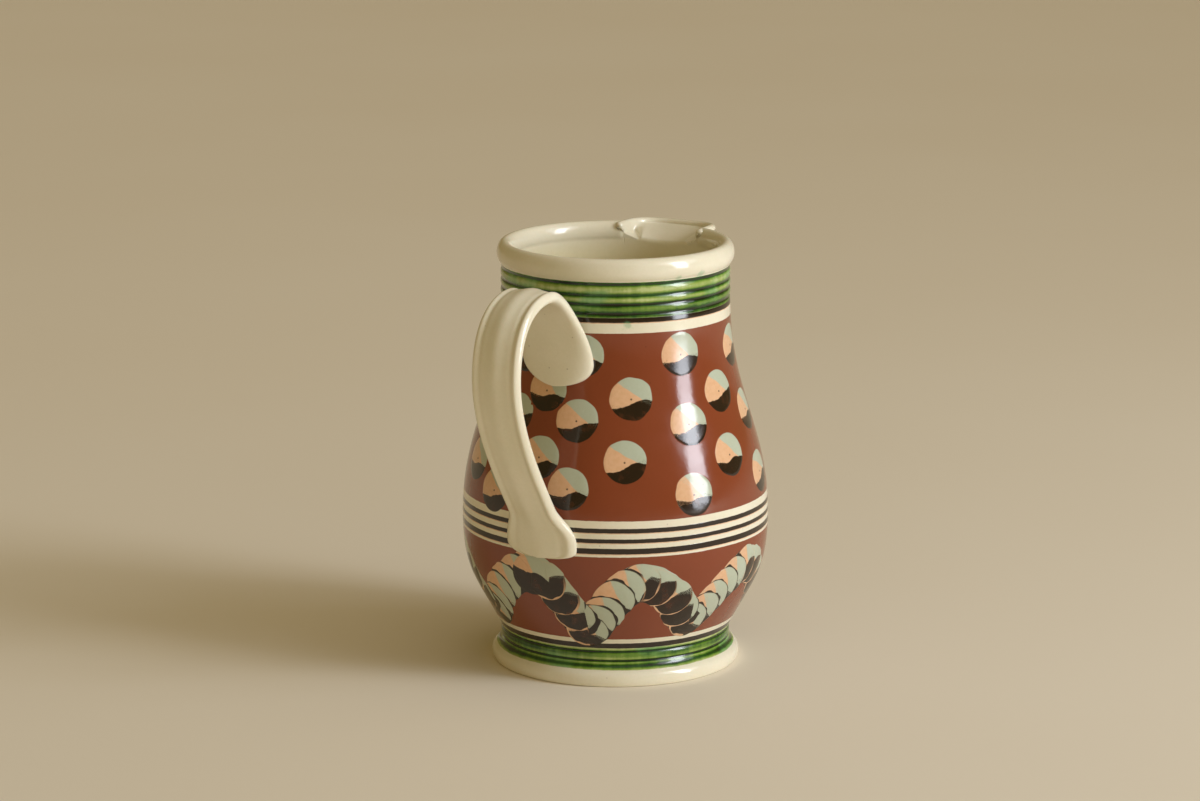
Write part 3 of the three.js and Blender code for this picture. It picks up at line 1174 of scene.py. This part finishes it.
@dataclass
class LipChannel:
    """The surface that leads from the neck's inside out to the edge of the pouring lip.

    In plan, the strip that carries it is half a squarish oval with its ends bent into the rim.
    """

    outline: Outline
    centre: float = 40.05
    half_width: float = 19.5
    reach: float = 58.0
    thickness: float = 3.4
    squareness: float = 3.0
    dip: float = 1.0
    tab_back: float = 4.95
    tab_out: float = 0.4
    tab_ease: float = 1.6
    tab_drop: float = 0.15
    tab_stretch: tuple = (0.02, 0.19)
    start_side: float = 3.2
    start_middle: float = 8.4
    tab_edge: float = 1.3
    tab_azimuth: float = 26.0
    notch_azimuth: float = 23.4
    seam_depth: float = 5.2
    seam_bulge: float = 2.9
    crease: tuple = (13.5, 21.0)
    columns: int = 170

    def plan(self) -> Array:
        """The strip's middle line seen from above: half a superellipse and its two bent ends.

        Returns:
            The points, evenly spaced from its right end to its left.
        """
        half = self.thickness / 2
        side = self.half_width - half
        angle = np.radians(np.linspace(-90, 90, 400))
        power = 2 / self.squareness
        x = self.centre + (self.reach - half - self.centre) * np.cos(angle) ** power
        y = side * np.sign(angle) * np.abs(np.sin(angle)) ** power
        end = (self.centre - self.tab_back, side + self.tab_out)
        eased_end = (end[0] + self.tab_ease, end[1] - self.tab_out / 2)
        left = cubic((self.centre, side), (self.centre - self.tab_ease, side), eased_end, end, 40)[1:]
        right = (left * (1, -1))[::-1]
        return spaced(np.concatenate([right, np.stack([x, y], 1), left]), np.linspace(0, 1, self.columns))

    def half(self) -> Array:
        """Half the strip's thickness at each place of the plan: full, and a quarter circle at its ends.

        Returns:
            The half thicknesses.
        """
        along = run_lengths(self.plan())
        full = self.thickness / 2
        inward = np.clip(1 - np.minimum(along, along[-1] - along) / full, 0, 0.995)
        return full * np.sqrt(1 - inward**2)

    def outward(self) -> Array:
        """The direction across the strip, away from the channel, at each place of the plan.

        Returns:
            Unit vectors.
        """
        along = np.gradient(self.plan(), axis=0)
        along /= np.linalg.norm(along, axis=1)[:, None]
        return np.stack([along[:, 1], -along[:, 0]], 1)

    def forward(self) -> Array:
        """How far forward each place of the plan lies, from 0 at the oval's middle to 1 at its tip."""
        return (self.plan()[:, 0] - self.centre) / (self.reach - self.centre)

    def shoulder(self) -> Array:
        """The height at which the strip's edge begins to round over, at each place of the plan.

        Returns:
            The heights.
        """
        tab = eased(-self.forward(), *self.tab_stretch)
        top = self.outline.height - self.dip * np.maximum(self.forward(), 0) ** 2
        return top - self.tab_drop * tab - self.thickness / 2

    def start(self, turn: Array) -> Array:
        """The height at which the channel leaves the neck's inside, lowest in the middle.

        Args:
            turn: azimuths in degrees.

        Returns:
            The heights.
        """
        share = np.clip(np.abs(turn) / self.tab_azimuth, 0, 1)
        depth = self.start_side + (self.start_middle - self.start_side) * (1 - share**2) ** 0.8
        return self.outline.height - depth

    def surface(self, turn: Array, level: Array) -> Array:
        """The channel's distance from the axis.

        Between its start and the strip's shoulder it moves out by an S curve in the middle, and more at
        once at the sides, where a crease shows under them.

        Args:
            turn: azimuths in degrees.
            level: heights.

        Returns:
            The distances.
        """
        edge = self.plan() - self.outward() * self.half()[:, None]
        azimuth = np.degrees(np.arctan2(edge[:, 1], edge[:, 0]))
        edge_radius = np.interp(turn, azimuth, np.hypot(*edge.T))
        top = np.interp(turn, azimuth, self.shoulder())
        inner = self.outline.neck_radius - self.outline.wall
        start = self.start(turn)
        share = np.clip((level - start) / (top - start), 0, 1)
        side = eased(np.abs(turn), *self.crease)
        quick = 1 - (1 - np.clip((level - start) / self.tab_edge, 0, 1)) ** 2
        moved = (1 - side) * share**2.4 * (1.8 - 0.8 * share) + side * quick
        return inner + (edge_radius - inner) * moved

    def seam(self, turn: float) -> float:
        """The height of the notch's cut edge: where the channel has used up most of the neck's wall.

        Args:
            turn: an azimuth in degrees.

        Returns:
            The height.
        """
        height, inner = self.outline.height, self.outline.neck_radius - self.outline.wall
        levels = np.linspace(height - self.start_middle, height - self.seam_depth, 80)
        past = self.surface(np.full(len(levels), turn), levels) - inner > self.seam_bulge
        return float(levels[np.argmax(past)] if past[-1] else levels[-1])


@dataclass
class ThrownBody:
    """The thrown and turned body, with the notch that its lip is let into."""

    outline: Outline
    channel: LipChannel
    drops: Drops
    end_rounding: float = 0.6
    bead_fade: float = 2.2
    notch_bottom: float = 150.0
    seam_recess: float = 0.3
    seam_ease: tuple = (1.0, 0.5)
    under_rim: float = 9.4
    rim_ease: tuple = (4.6, 2.5)
    fine_before: float = 1.0
    fine_after: float = 2.4
    notch_columns: int = 40
    edge_columns: int = 18
    other_columns: int = 224

    def azimuths(self) -> Array:
        """The columns' azimuths in degrees, close together at the notch's ends.

        Returns:
            The azimuths, once round.
        """
        edge = self.channel.notch_azimuth
        before, after = edge - self.fine_before, edge + self.fine_after
        stretches = (
            (-before, before, self.notch_columns),
            (before, after, self.edge_columns),
            (after, 360 - after, self.other_columns),
            (360 - after, 360 - before, self.edge_columns),
        )
        return np.concatenate([np.linspace(*stretch, endpoint=False) for stretch in stretches])

    def build(self) -> bpy.types.Object:
        """Revolves the profile, cuts the notch into it and marks where the slip lies.

        Returns:
            The body.
        """
        under, outer, inner = self.outline.underside(), self.outline.outer(), self.outline.inner()
        profile = np.concatenate([under, outer, inner])
        azimuth = self.azimuths()
        sections = np.repeat(profile[None], len(azimuth), 0)
        crest = len(under) + len(outer)
        first = len(under) + int(np.argmax(outer[:, 1] > self.notch_bottom))
        last = crest + int(np.argmax(inner[:, 1] < self.outline.neck_start + 0.5))
        for column, turn in enumerate((azimuth + 180) % 360 - 180):
            past = math.radians(abs(turn) - self.channel.notch_azimuth) * self.outline.neck_radius
            if past < 0:
                sections[column, first:last] = self.cut_wall(profile, first, crest, last, turn)
            elif past < self.bead_fade:
                sections[column, first:last] = self.rounded_end(profile[first:last], crest - first, past)
        angle = np.radians(azimuth)[None]
        radius, level = sections[..., 0].T, sections[..., 1].T
        points = np.stack([radius * np.cos(angle), radius * np.sin(angle), level], -1)
        skin = Skin("body", points)
        skin.marks = self.marks(profile, azimuth, len(under), crest)
        log.info("body: %d rows by %d columns", *points.shape[:2])
        return skin.build()

    def cut_wall(self, profile: Array, first: int, crest: int, last: int, turn: float) -> Array:
        """The neck's wall in the notch: up the outside, over the cut edge and down the channel.

        Args:
            profile: the profile's points.
            first, crest, last: the rows where the wall starts, where the rim's crest was, and where it ends.
            turn: the column's azimuth in degrees.

        Returns:
            The wall's points, as many as the profile has there.
        """
        top = self.channel.seam(turn)
        wall = profile[first:last].copy()
        level, inside = wall[:, 1], np.arange(len(wall)) >= crest - first
        hidden = self.seam_recess * eased(level, top - self.seam_ease[0], top - self.seam_ease[1])
        wall[inside, 0] = (self.channel.surface(np.full(len(wall), turn), level) + hidden)[inside]
        under = ~inside & (level < min(top, self.outline.height - self.under_rim))
        within = inside & (level < top)
        edge = ~(under | within)
        path = np.array([wall[under][-1], (self.outline.neck_radius, top), wall[within][0]])
        wall[edge] = spaced(path, np.linspace(0, 1, edge.sum() + 2)[1:-1])
        return wall

    def rounded_end(self, line: Array, crest: int, past: float) -> Array:
        """The rolled rim's section near its cut end: drawn in towards its middle, its inner bead fading out.

        Args:
            line: the wall's points, up the outside and down the inside.
            crest: the row of the rim's crest in them.
            past: how far the column lies from the cut, in millimetres.

        Returns:
            The wall's points at that column.
        """
        near = max(1 - past / self.end_rounding, 0)
        drawn = self.end_rounding * (1 - math.sqrt(1 - near**2))
        centre = np.array(self.outline.rim_centre)
        halves = np.array([self.outline.rim_half_width, self.outline.rim_half_height])
        small = centre + (line - centre) * (1 - drawn / halves)
        weight = eased(line[:, 1], centre[1] - self.rim_ease[0], centre[1] - self.rim_ease[1])[:, None]
        line = line + (small - line) * weight
        inner = self.outline.neck_radius - self.outline.wall
        bead = np.minimum(line[crest:, 0] - inner, 0) * (line[crest:, 1] < centre[1] + 1)
        line[crest:, 0] -= bead * (1 - eased(past, 0, self.bead_fade))
        return line

    def marks(self, profile: Array, azimuth: Array, first: int, crest: int) -> dict[str, Array]:
        """Values at each face corner: the outer skin, its grooves and the cable's rise, and places in drops.

        Args:
            profile: the profile's points.
            azimuth: the columns' azimuths in degrees.
            first, crest: the rows where the outer skin starts and ends.

        Returns:
            The values by name.
        """
        rows, columns = len(profile) - 1, len(azimuth)
        turn = np.concatenate([azimuth, [azimuth[0] + 360]])
        ring = np.stack([turn[:-1], turn[1:], turn[1:], turn[:-1]], -1)[None].repeat(rows, 0)
        below, above = np.arange(rows), np.arange(1, rows + 1)
        line = np.stack([below, below, above, above], -1)[:, None].repeat(columns, 1)
        radius, level, path = profile[line, 0], profile[line, 1], run_lengths(profile)[line]
        outside = (below >= first - 1) & (above <= crest)
        skin = np.zeros((rows, columns, 4, 3), np.float32)
        skin[..., 0] = outside[:, None, None]
        skin[..., 1] = self.outline.pool(level)
        cable = self.drops.cable_line()
        slope = np.gradient(cable[:, 1]) / np.gradient(cable[:, 0])
        order = np.argsort(cable[:, 0] % 360)
        skin[..., 2] = np.interp(ring % 360, cable[order, 0] % 360, slope[order], period=360)
        spot = SpotFinder(profile, first, crest, ring, radius, path)
        drops = self.drops
        single = spot.nearest(drops.singles(), drops.radius, drops.single_levels, 1)[0]
        strokes = spot.nearest(drops.strokes(), drops.stroke_radius, drops.cable_levels, drops.overlaps)
        ribbon = spot.beside(cable, drops.stroke_radius, drops.cable_levels)
        marks = {"skin": skin, "drop": single, "ribbon": ribbon}
        return marks | {f"stroke_{number}": values for number, values in enumerate(strokes)}


@dataclass
class SpotFinder:
    """Gives each face its places in the drops that may cover it, so that a drop's edge stays sharp.

    Attributes:
        profile: the profile's points.
        first, crest: the rows where the outer skin starts and ends.
        ring, radius, path: azimuth, radius and distance along the profile at each face's corners.
    """

    profile: Array
    first: int
    crest: int
    ring: Array
    radius: Array
    path: Array

    def path_at(self, heights: Array) -> Array:
        """The distance along the profile at heights on its outer skin."""
        along = run_lengths(self.profile)[self.first:self.crest]
        return np.interp(heights, np.maximum.accumulate(self.profile[self.first:self.crest, 1]), along)

    def rows(self, levels: tuple[float, float]) -> Array:
        """The rows of the outer skin between two heights."""
        rows = np.arange(self.first, self.crest)
        return rows[(self.profile[rows, 1] > levels[0]) & (self.profile[rows, 1] < levels[1])]

    def beside(self, line: Array, size: float, levels: tuple[float, float]) -> Array:
        """How far each face corner lies from a line round the jug, and on which side of it.

        Args:
            line: the line's azimuths and heights.
            size: the distance that counts as 1.
            levels: the lowest and highest height that it reaches.

        Returns:
            The distance, the share of it that points up and to the right, and 0.
        """
        result = np.full((*self.ring.shape, 3), FAR, np.float32)
        line_path = self.path_at(line[:, 1])
        for row in self.rows(levels):
            around = (self.ring[row][..., None] - line[:, 0] + 180) % 360 - 180
            across = np.radians(around) * self.radius[row][..., None] / size
            along = (self.path[row][..., None] - line_path) / size
            reach = np.hypot(across, along)
            best = np.argmin(reach, -1)[..., None]
            closest = [np.take_along_axis(values, best, -1)[..., 0] for values in (reach, across, along)]
            result[row, ..., 0] = closest[0]
            result[row, ..., 1] = UP_AND_RIGHT[0] * closest[1] + UP_AND_RIGHT[1] * closest[2]
            result[row, ..., 2] = 0
        return result

    def nearest(self, spots: Array, size: float, levels: tuple[float, float], count: int) -> list[Array]:
        """Places in the nearest drops, as shares of their radius, from the rightmost drop to the leftmost.

        A place is the azimuth apart times the jug's radius, and the distance apart along the profile.

        Args:
            spots: each drop's azimuth, height and number.
            size: the drops' radius.
            levels: the lowest and highest height that they reach.
            count: how many drops a face takes.

        Returns:
            Arrays of places and numbers, one for each of the count drops.
        """
        spot_path, rows = self.path_at(spots[:, 1]), self.rows(levels)
        ring, radius, path = self.ring[rows], self.radius[rows], self.path[rows]
        middle = [values.mean(-1)[..., None] for values in (ring, radius, path)]
        turn = (middle[0] - spots[:, 0] + 180) % 360 - 180
        across = np.radians(turn) * middle[1]
        reach = np.hypot(across, middle[2] - spot_path)
        picked = np.argsort(reach, axis=-1)[..., :count]
        order = np.argsort(np.take_along_axis(turn, picked, -1), axis=-1)
        picked = np.take_along_axis(picked, order, -1)
        results = []
        for number in range(count):
            spot = picked[..., number, None]
            around = (ring - spots[spot, 0] + 180) % 360 - 180
            result = np.full((*self.ring.shape, 3), FAR, np.float32)
            result[rows, ..., 0] = np.radians(around) * radius / size
            result[rows, ..., 1] = (path - spot_path[spot]) / size
            result[rows, ..., 2] = spots[spot, 2]
            results.append(result)
        return results


@dataclass(frozen=True)
class StrapEnd:
    """A flared end of the strap.

    Attributes:
        half_width: half its width.
        flat: the stretch that keeps this width.
        flare: the stretch over which it narrows to the strap's own.
        rounding: the length of its rounded end.
        fullness, crisp: how full its two corners are; 2 is round, and more is squarer.
    """

    half_width: float
    flat: float
    flare: float
    rounding: float
    fullness: float
    crisp: float


@dataclass
class StrapHandle:
    """The pulled strap: its centre line runs up the neck, over the crest and down onto the belly."""

    outline: Outline
    thickness: float = 4.4
    half_width: float = 10.2
    crest_out: float = 23.0
    crest_down: float = 11.1
    reach_out: float = 33.1
    reach_down: float = 27.9
    root_foot: float = 118.1
    root_standoff: float = 0.8
    landing_up: float = 8.0
    terminal_down: float = 4.9
    terminal_sink: float = 1.5
    root: StrapEnd = StrapEnd(half_width=15.4, flat=8.5, flare=33.0, rounding=9.5, fullness=1.8, crisp=2.3)
    terminal: StrapEnd = StrapEnd(
        half_width=15.2, flat=6.0, flare=16.0, rounding=5.0, fullness=2.4, crisp=4.2
    )
    root_pull: float = 25.0
    crest_pulls: tuple = (10.6, 16.0)
    reach_pulls: tuple = (17.7, 22.6)
    landing_pull: tuple = (8.7, 14.6)
    root_bend: tuple = (34.0, 8.0)
    terminal_bend: tuple = (26.0, 6.0)
    pressing: float = 0.3
    pressed_stretch: tuple = (15.0, 2.0)
    rib_height: float = 0.9
    rib_spread: float = 0.34
    bead_height: float = 0.55
    bead_place: float = 0.86
    bead_spread: float = 0.11
    valley_depth: float = 0.3
    valley_place: float = 0.66
    valley_spread: float = 0.09
    bend_softness: float = 3.2
    rings: int = 190

    def centre_line(self) -> Array:
        """The strap's middle line: four curves end to end, with their joins softened.

        Returns:
            Distances from the axis and heights, finely spaced.
        """
        o = self.outline
        root = o.neck_radius + self.thickness / 2 + self.root_standoff
        crest, crest_height = o.neck_radius + self.crest_out, o.height - self.crest_down
        reach, reach_height = o.belly_radius + self.reach_out, o.height - self.crest_down - self.reach_down
        landing, landing_height = o.belly_radius + self.thickness / 2, o.belly_height + self.landing_up
        end, end_height = landing - self.terminal_sink, o.belly_height - self.terminal_down
        runs = [
            (
                (root, self.root_foot), (root, self.root_foot + self.root_pull),
                (crest - self.crest_pulls[0], crest_height), (crest, crest_height),
            ),
            (
                (crest, crest_height), (crest + self.crest_pulls[1], crest_height),
                (reach, reach_height + self.reach_pulls[0]), (reach, reach_height),
            ),
            (
                (reach, reach_height), (reach, reach_height - self.reach_pulls[1]),
                (landing + self.landing_pull[0], landing_height + self.landing_pull[1]),
                (landing, landing_height),
            ),
            (
                (landing, landing_height), (end, (2 * landing_height + end_height) / 3),
                (end, (landing_height + 2 * end_height) / 3), (end, end_height),
            ),
        ]
        line = np.concatenate([cubic(*run, 120)[int(number > 0):] for number, run in enumerate(runs)])
        return self.softened(spaced(line, np.linspace(0, 1, 600)))

    def softened(self, line: Array) -> Array:
        """The line averaged over a bell-shaped stretch of a few millimetres, its ends kept.

        Args:
            line: evenly spaced points.

        Returns:
            As many points.
        """
        step = run_lengths(line)[-1] / (len(line) - 1)
        reach = int(3 * self.bend_softness / step)
        kernel = np.exp(-((np.arange(-reach, reach + 1) * step / self.bend_softness) ** 2))
        kernel /= kernel.sum()
        before = 2 * line[0] - line[reach:0:-1]
        after = 2 * line[-1] - line[-2:-reach - 2:-1]
        long = np.concatenate([before, line, after])
        return np.stack([np.convolve(side, kernel, "valid") for side in long.T], 1)

    def width(self, from_root: Array, from_end: Array, crisp: bool) -> Array:
        """Half the strap's width: its own, the two flares as half cosines, and the rounded ends.

        Args:
            from_root, from_end: distances along the strap from its two ends.
            crisp: whether it is the side with the crisper corners.

        Returns:
            The half width at each distance.
        """
        width = np.full(len(from_root), self.half_width)
        for distance, end in ((from_root, self.root), (from_end, self.terminal)):
            share = np.clip((distance - end.flat) / end.flare, 0, 1)
            width += (end.half_width - self.half_width) * (0.5 + 0.5 * np.cos(np.pi * share))
        for distance, end in ((from_root, self.root), (from_end, self.terminal)):
            share = np.clip((distance + 0.02) / end.rounding, 0, 1)
            fullness = end.crisp if crisp else end.fullness
            width *= (1 - (1 - share) ** fullness) ** (1 / fullness)
        return width

    def section(self) -> Array:
        """The strap's section, as a share of the half width across and a distance outwards.

        Outside it is half the thickness plus a bell-shaped rib, less two valleys, plus two beads; inside it
        is flat. Both fall to nothing at the edges as the square root of 1 - |u|^8.

        Returns:
            The points, once round.
        """
        u = -np.cos(np.linspace(0, np.pi, 64))
        edge = np.sqrt(np.maximum(1 - np.abs(u) ** 8, 0))
        half = self.thickness / 2
        rib = self.rib_height * np.exp(-((u / self.rib_spread) ** 2))
        bead = self.bead_height * np.exp(-(((np.abs(u) - self.bead_place) / self.bead_spread) ** 2))
        valley = self.valley_depth * np.exp(-(((np.abs(u) - self.valley_place) / self.valley_spread) ** 2))
        outside = np.stack([u, (half + rib + bead - valley) * edge], 1)
        inside = np.stack([u, -half * edge], 1)[1:-1][::-1]
        return np.concatenate([outside, inside])

    def build(self) -> bpy.types.Object:
        """Carries the section along the centre line, with both ends bent round the body.

        Returns:
            The handle.
        """
        fine = self.centre_line()
        places = 0.5 - 0.5 * np.cos(np.linspace(0, np.pi, self.rings))
        centre = spaced(fine, places)
        length = run_lengths(fine)[-1]
        shares, slopes = run_lengths(fine) / length, np.gradient(fine, axis=0)
        along = np.stack([np.interp(places, shares, slope) for slope in slopes.T], 1)
        along /= np.linalg.norm(along, axis=1)[:, None]
        from_root, from_end = places * length, (1 - places) * length
        section = self.section()
        right, left = (self.width(from_root, from_end, crisp) for crisp in (True, False))
        across = section[:, 0, None] * np.where(section[:, 0, None] < 0, right, left)
        pressed = 1 - self.pressing * eased(from_end, *self.pressed_stretch)
        out = section[:, 1, None] * pressed
        radius = centre[:, 0] - along[:, 1] * out
        level = centre[:, 1] + along[:, 0] * out
        bend = np.maximum(eased(from_root, *self.root_bend), eased(from_end, *self.terminal_bend))
        angle = across / radius
        bent = np.stack([-radius * np.cos(angle), radius * np.sin(angle)])
        straight = np.stack([-radius, across])
        plan = straight + (bent - straight) * bend
        points = np.stack([plan[0], plan[1], level], -1)
        log.info("handle: %d rows by %d columns", *points.shape[:2])
        return Skin("handle", points[:, ::-1], wraps=False, loops=True).build()


@dataclass
class LetInLip:
    """The pouring lip: a bent strip of clay that lines the notch and carries its channel outwards."""

    outline: Outline
    channel: LipChannel
    root_depth: float = 21.0
    root_half_width: float = 5.0
    width_curve: float = 0.75
    reach_curve: float = 1.25
    merge: float = 0.9
    overlap: float = 1.4
    proud: float = 0.05
    sink: float = 0.5
    tuck: tuple = (0.8, 0.4)
    root_sink: float = 0.15
    onto_neck: tuple = (0.02, 0.2)

    def build(self) -> bpy.types.Object:
        """Builds the strip's section at each place along its plan.

        The section goes up the channel's face, over the rounded edge, down the outside and back through
        the neck's wall.

        Returns:
            The lip.
        """
        plan, out = self.channel.plan(), self.channel.outward()
        half = self.channel.half()
        inner, outer = plan - out * half[:, None], plan + out * half[:, None]
        turn = np.degrees(np.arctan2(inner[:, 1], inner[:, 0]))
        shoulder = self.channel.shoulder()
        seam = np.array([self.channel.seam(each) for each in turn])
        rise = np.concatenate([[0, 0.006], np.linspace(0.03, 1, 30)])[:, None]
        level = seam - self.overlap + (shoulder - seam + self.overlap) * rise
        along = run_lengths(plan)
        start = self.channel.start(turn)
        from_ends = np.minimum(along, along[-1] - along)
        sunk = self.sink * eased(from_ends, 0.7, 0) * eased(level, start + 0.2, start - 0.6)
        face_radius = self.channel.surface(np.broadcast_to(turn, level.shape), level)
        radius = face_radius - self.proud * (1 - rise) + sunk
        face = self.turned(turn, radius, level)
        buried = self.turned(turn, radius[:1] + self.tuck[0], level[:1] - self.tuck[1])
        arc = np.radians(np.linspace(0, 180, 16))[1:, None]
        over = plan[None] - out[None] * (half * np.cos(arc))[..., None]
        crown = np.concatenate([over, (shoulder + half * np.sin(arc))[..., None]], -1)
        points = np.concatenate([buried, face, crown, self.outside(outer, shoulder)])
        log.info("spout: %d rows by %d columns", *points.shape[:2])
        return Skin("spout", points[:, ::-1], wraps=False, loops=True).build()

    def turned(self, turn: Array, radius: Array, level: Array) -> Array:
        """Points at azimuths in degrees, distances from the axis and heights."""
        angle = np.radians(turn)
        return np.stack([radius * np.cos(angle), radius * np.sin(angle), level], -1)

    def outside(self, edge: Array, shoulder: Array) -> Array:
        """The lip's outside: it narrows and draws in towards its root and is smoothed onto the neck.

        At a share of the way up, the half width and the reach grow with powers of that share. Where the
        outside comes near the neck, its distance from the axis is eased onto the neck's.

        Args:
            edge: the outer edge of the strip seen from above.
            shoulder: the height where its edge is rounded over.

        Returns:
            Rows of points from the shoulder down to the root.
        """
        channel, neck = self.channel, self.outline.neck_radius
        share = np.linspace(1, 0, 36)[1:, None]
        full = channel.half_width
        width = (self.root_half_width + (full - self.root_half_width) * share**self.width_curve) / full
        length = channel.reach - channel.centre
        reach = (neck + (channel.reach - neck) * share**self.reach_curve - channel.centre) / length
        ahead = edge[:, 0] - channel.centre
        x = channel.centre + np.where(ahead > 0, ahead * reach, ahead)
        y = edge[:, 1] * width
        skin = neck - self.root_sink
        smooth = skin + self.merge * np.logaddexp(0, (np.hypot(x, y) - skin) / self.merge)
        radius = np.hypot(x, y) + (smooth - np.hypot(x, y)) * eased(1 - share, *self.onto_neck)
        level = shoulder - (self.root_depth - channel.thickness / 2) * (1 - share)
        return self.turned(np.degrees(np.arctan2(y, x)), radius, level)


# The stage


@dataclass
class Studio:
    """The pale floor, the soft lights and the camera. Azimuths are degrees from +X."""

    camera_azimuth: float = 208.3
    camera_distance: float = 1560.0
    camera_height: float = 444.8
    camera_pitch: float = 12.366
    camera_yaw: float = 0.222
    focal_length: float = 122.2
    sensor_width: float = 36.0
    clip: tuple = (0.05, 50.0)
    floor_half: float = 9000.0
    floor_gap: float = 0.1
    aim_height: float = 85.0
    daylight_colour: tuple = (0.93, 0.97, 1.05)

    def ground(self) -> bpy.types.Object:
        """Lays a wide pale floor just under the foot.

        Returns:
            The floor.
        """
        side, level = self.floor_half * MM, -self.floor_gap * MM
        mesh = bpy.data.meshes.new("floor")
        corners = [(x * side, y * side, level) for x, y in ((-1, -1), (1, -1), (1, 1), (-1, 1))]
        mesh.from_pydata(corners, [], [(0, 1, 2, 3)])
        floor = bpy.data.objects.new("floor", mesh)
        bpy.context.scene.collection.objects.link(floor)
        material, bench = new_material("pale_floor")
        clouds = bench.noise(bench.object_place(), 3.0, detail=2.0)
        colour = bench.mix(clouds, linear(236, 226, 207), linear(240, 232, 216))
        plain = bench.node("ShaderNodeBsdfPrincipled", {"Base Color": colour, "Roughness": 0.9})
        output = bench.node("ShaderNodeOutputMaterial")
        bench.plug(output.inputs[0], plain.outputs[0])
        floor.data.materials.append(material)
        return floor

    def direction(self, azimuth: float, elevation: float) -> Vector:
        """The unit vector at an azimuth and an elevation in degrees."""
        turn, lift = math.radians(azimuth), math.radians(elevation)
        return Vector((math.cos(turn) * math.cos(lift), math.sin(turn) * math.cos(lift), math.sin(lift)))

    def stand(self, name: str, data: bpy.types.ID, place: Vector, back: Vector) -> bpy.types.Object:
        """Puts a light or the camera in its place.

        Args:
            name: its name.
            data: the light or the camera.
            place: where it stands, in metres.
            back: the direction that it has its back to.

        Returns:
            Its object.
        """
        thing = bpy.data.objects.new(name, data)
        facing = back.to_track_quat("Z", "Y").to_matrix().to_4x4()
        thing.matrix_world = Matrix.Translation(place) @ facing
        bpy.context.scene.collection.objects.link(thing)
        return thing

    def light(
        self, name: str, azimuth: float, elevation: float, distance: float, size: tuple, power: float,
        colour: tuple
    ) -> None:
        """Hangs a soft rectangular light that faces the jug's middle.

        Args:
            name: its name.
            azimuth, elevation: where it hangs, in degrees.
            distance: how far from the jug's middle.
            size: its width and height.
            power: its strength in watts.
            colour: its colour.
        """
        lamp = bpy.data.lights.new(name, "AREA")
        lamp.shape = "RECTANGLE"
        lamp.size, lamp.size_y = (side * MM for side in size)
        lamp.energy = power
        lamp.color = colour
        away = self.direction(azimuth, elevation)
        self.stand(name, lamp, Vector((0, 0, self.aim_height * MM)) + away * distance * MM, away)

    def sun(
        self, name: str, azimuth: float, elevation: float, spread: float, power: float, colour: tuple,
        shines: bool = True
    ) -> None:
        """Hangs an even light from far away.

        Args:
            name: its name.
            azimuth, elevation: where it comes from, in degrees.
            spread: its width in degrees.
            power: its strength.
            colour: its colour.
            shines: whether the gloss mirrors it.
        """
        lamp = bpy.data.lights.new(name, "SUN")
        lamp.energy = power
        lamp.angle = math.radians(spread)
        lamp.color = colour
        thing = self.stand(name, lamp, Vector(), self.direction(azimuth, elevation))
        thing.visible_glossy = shines

    def lights(self) -> None:
        """A tall window to the right, the daylight round it, a weak overhead light and a warm surround."""
        day = self.daylight_colour
        self.light("window", 275.0, 18.0, distance=1500.0, size=(370.0, 1060.0), power=12.4, colour=day)
        self.sun("daylight", 277.0, 30.0, spread=38.0, power=0.62, colour=day)
        self.sun("overhead", 275.0, 65.0, spread=80.0, power=0.38, colour=(1.0, 0.97, 0.93))
        self.sun("fill", 236.0, 2.0, spread=50.0, power=0.5, colour=(1.0, 0.93, 0.76), shines=False)
        world = bpy.data.worlds.new("surround")
        world.use_nodes = True
        bench = Bench(world.node_tree)
        background = bench.node("ShaderNodeBackground", {"Color": linear(134, 116, 72), "Strength": 1.0})
        output = bench.node("ShaderNodeOutputWorld")
        bench.plug(output.inputs[0], background.outputs[0])
        bpy.context.scene.world = world

    def camera(self) -> None:
        """Stands the camera where the photograph was taken from."""
        lens = bpy.data.cameras.new("camera")
        lens.lens = self.focal_length
        lens.sensor_width = self.sensor_width
        lens.clip_start, lens.clip_end = self.clip
        turn, distance = math.radians(self.camera_azimuth), self.camera_distance
        place = Vector((math.cos(turn) * distance, math.sin(turn) * distance, self.camera_height)) * MM
        back = self.direction(self.camera_azimuth + self.camera_yaw, self.camera_pitch)
        bpy.context.scene.camera = self.stand("camera", lens, place, back)

    def dress(self) -> None:
        """Sets the stage."""
        self.ground()
        self.lights()
        self.camera()
        view = bpy.context.scene.view_settings
        view.view_transform = "Standard"
        view.look = "None"


def place_piece(thing: bpy.types.Object, node: str, material: bpy.types.Material) -> None:
    """Gives a piece its finish and its body, and hides the node that it stands for.

    Args:
        thing: the piece.
        node: the node that it replaces.
        material: its finish.
    """
    thing.data.materials.append(material)
    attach(thing, BODY)
    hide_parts(node)
    log.info("%s: %d faces, finish %s", thing.name, len(thing.data.polygons), material.name)


def main() -> None:
    """Builds the jug piece by piece and sets the stage."""
    logging.basicConfig(level=logging.INFO, format="%(message)s")
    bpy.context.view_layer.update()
    groups = Groups.make()
    cream = CreamGlaze().make(groups)
    outline = Outline.from_frame()
    channel = LipChannel(outline)
    body = ThrownBody(outline, channel, Drops())
    place_piece(body.build(), "body", SlipDecoration().make(groups))
    place_piece(StrapHandle(outline).build(), "handle", cream)
    place_piece(LetInLip(outline, channel).build(), "spout", cream)
    Studio().dress()


if __name__ == "__main__":
    main()
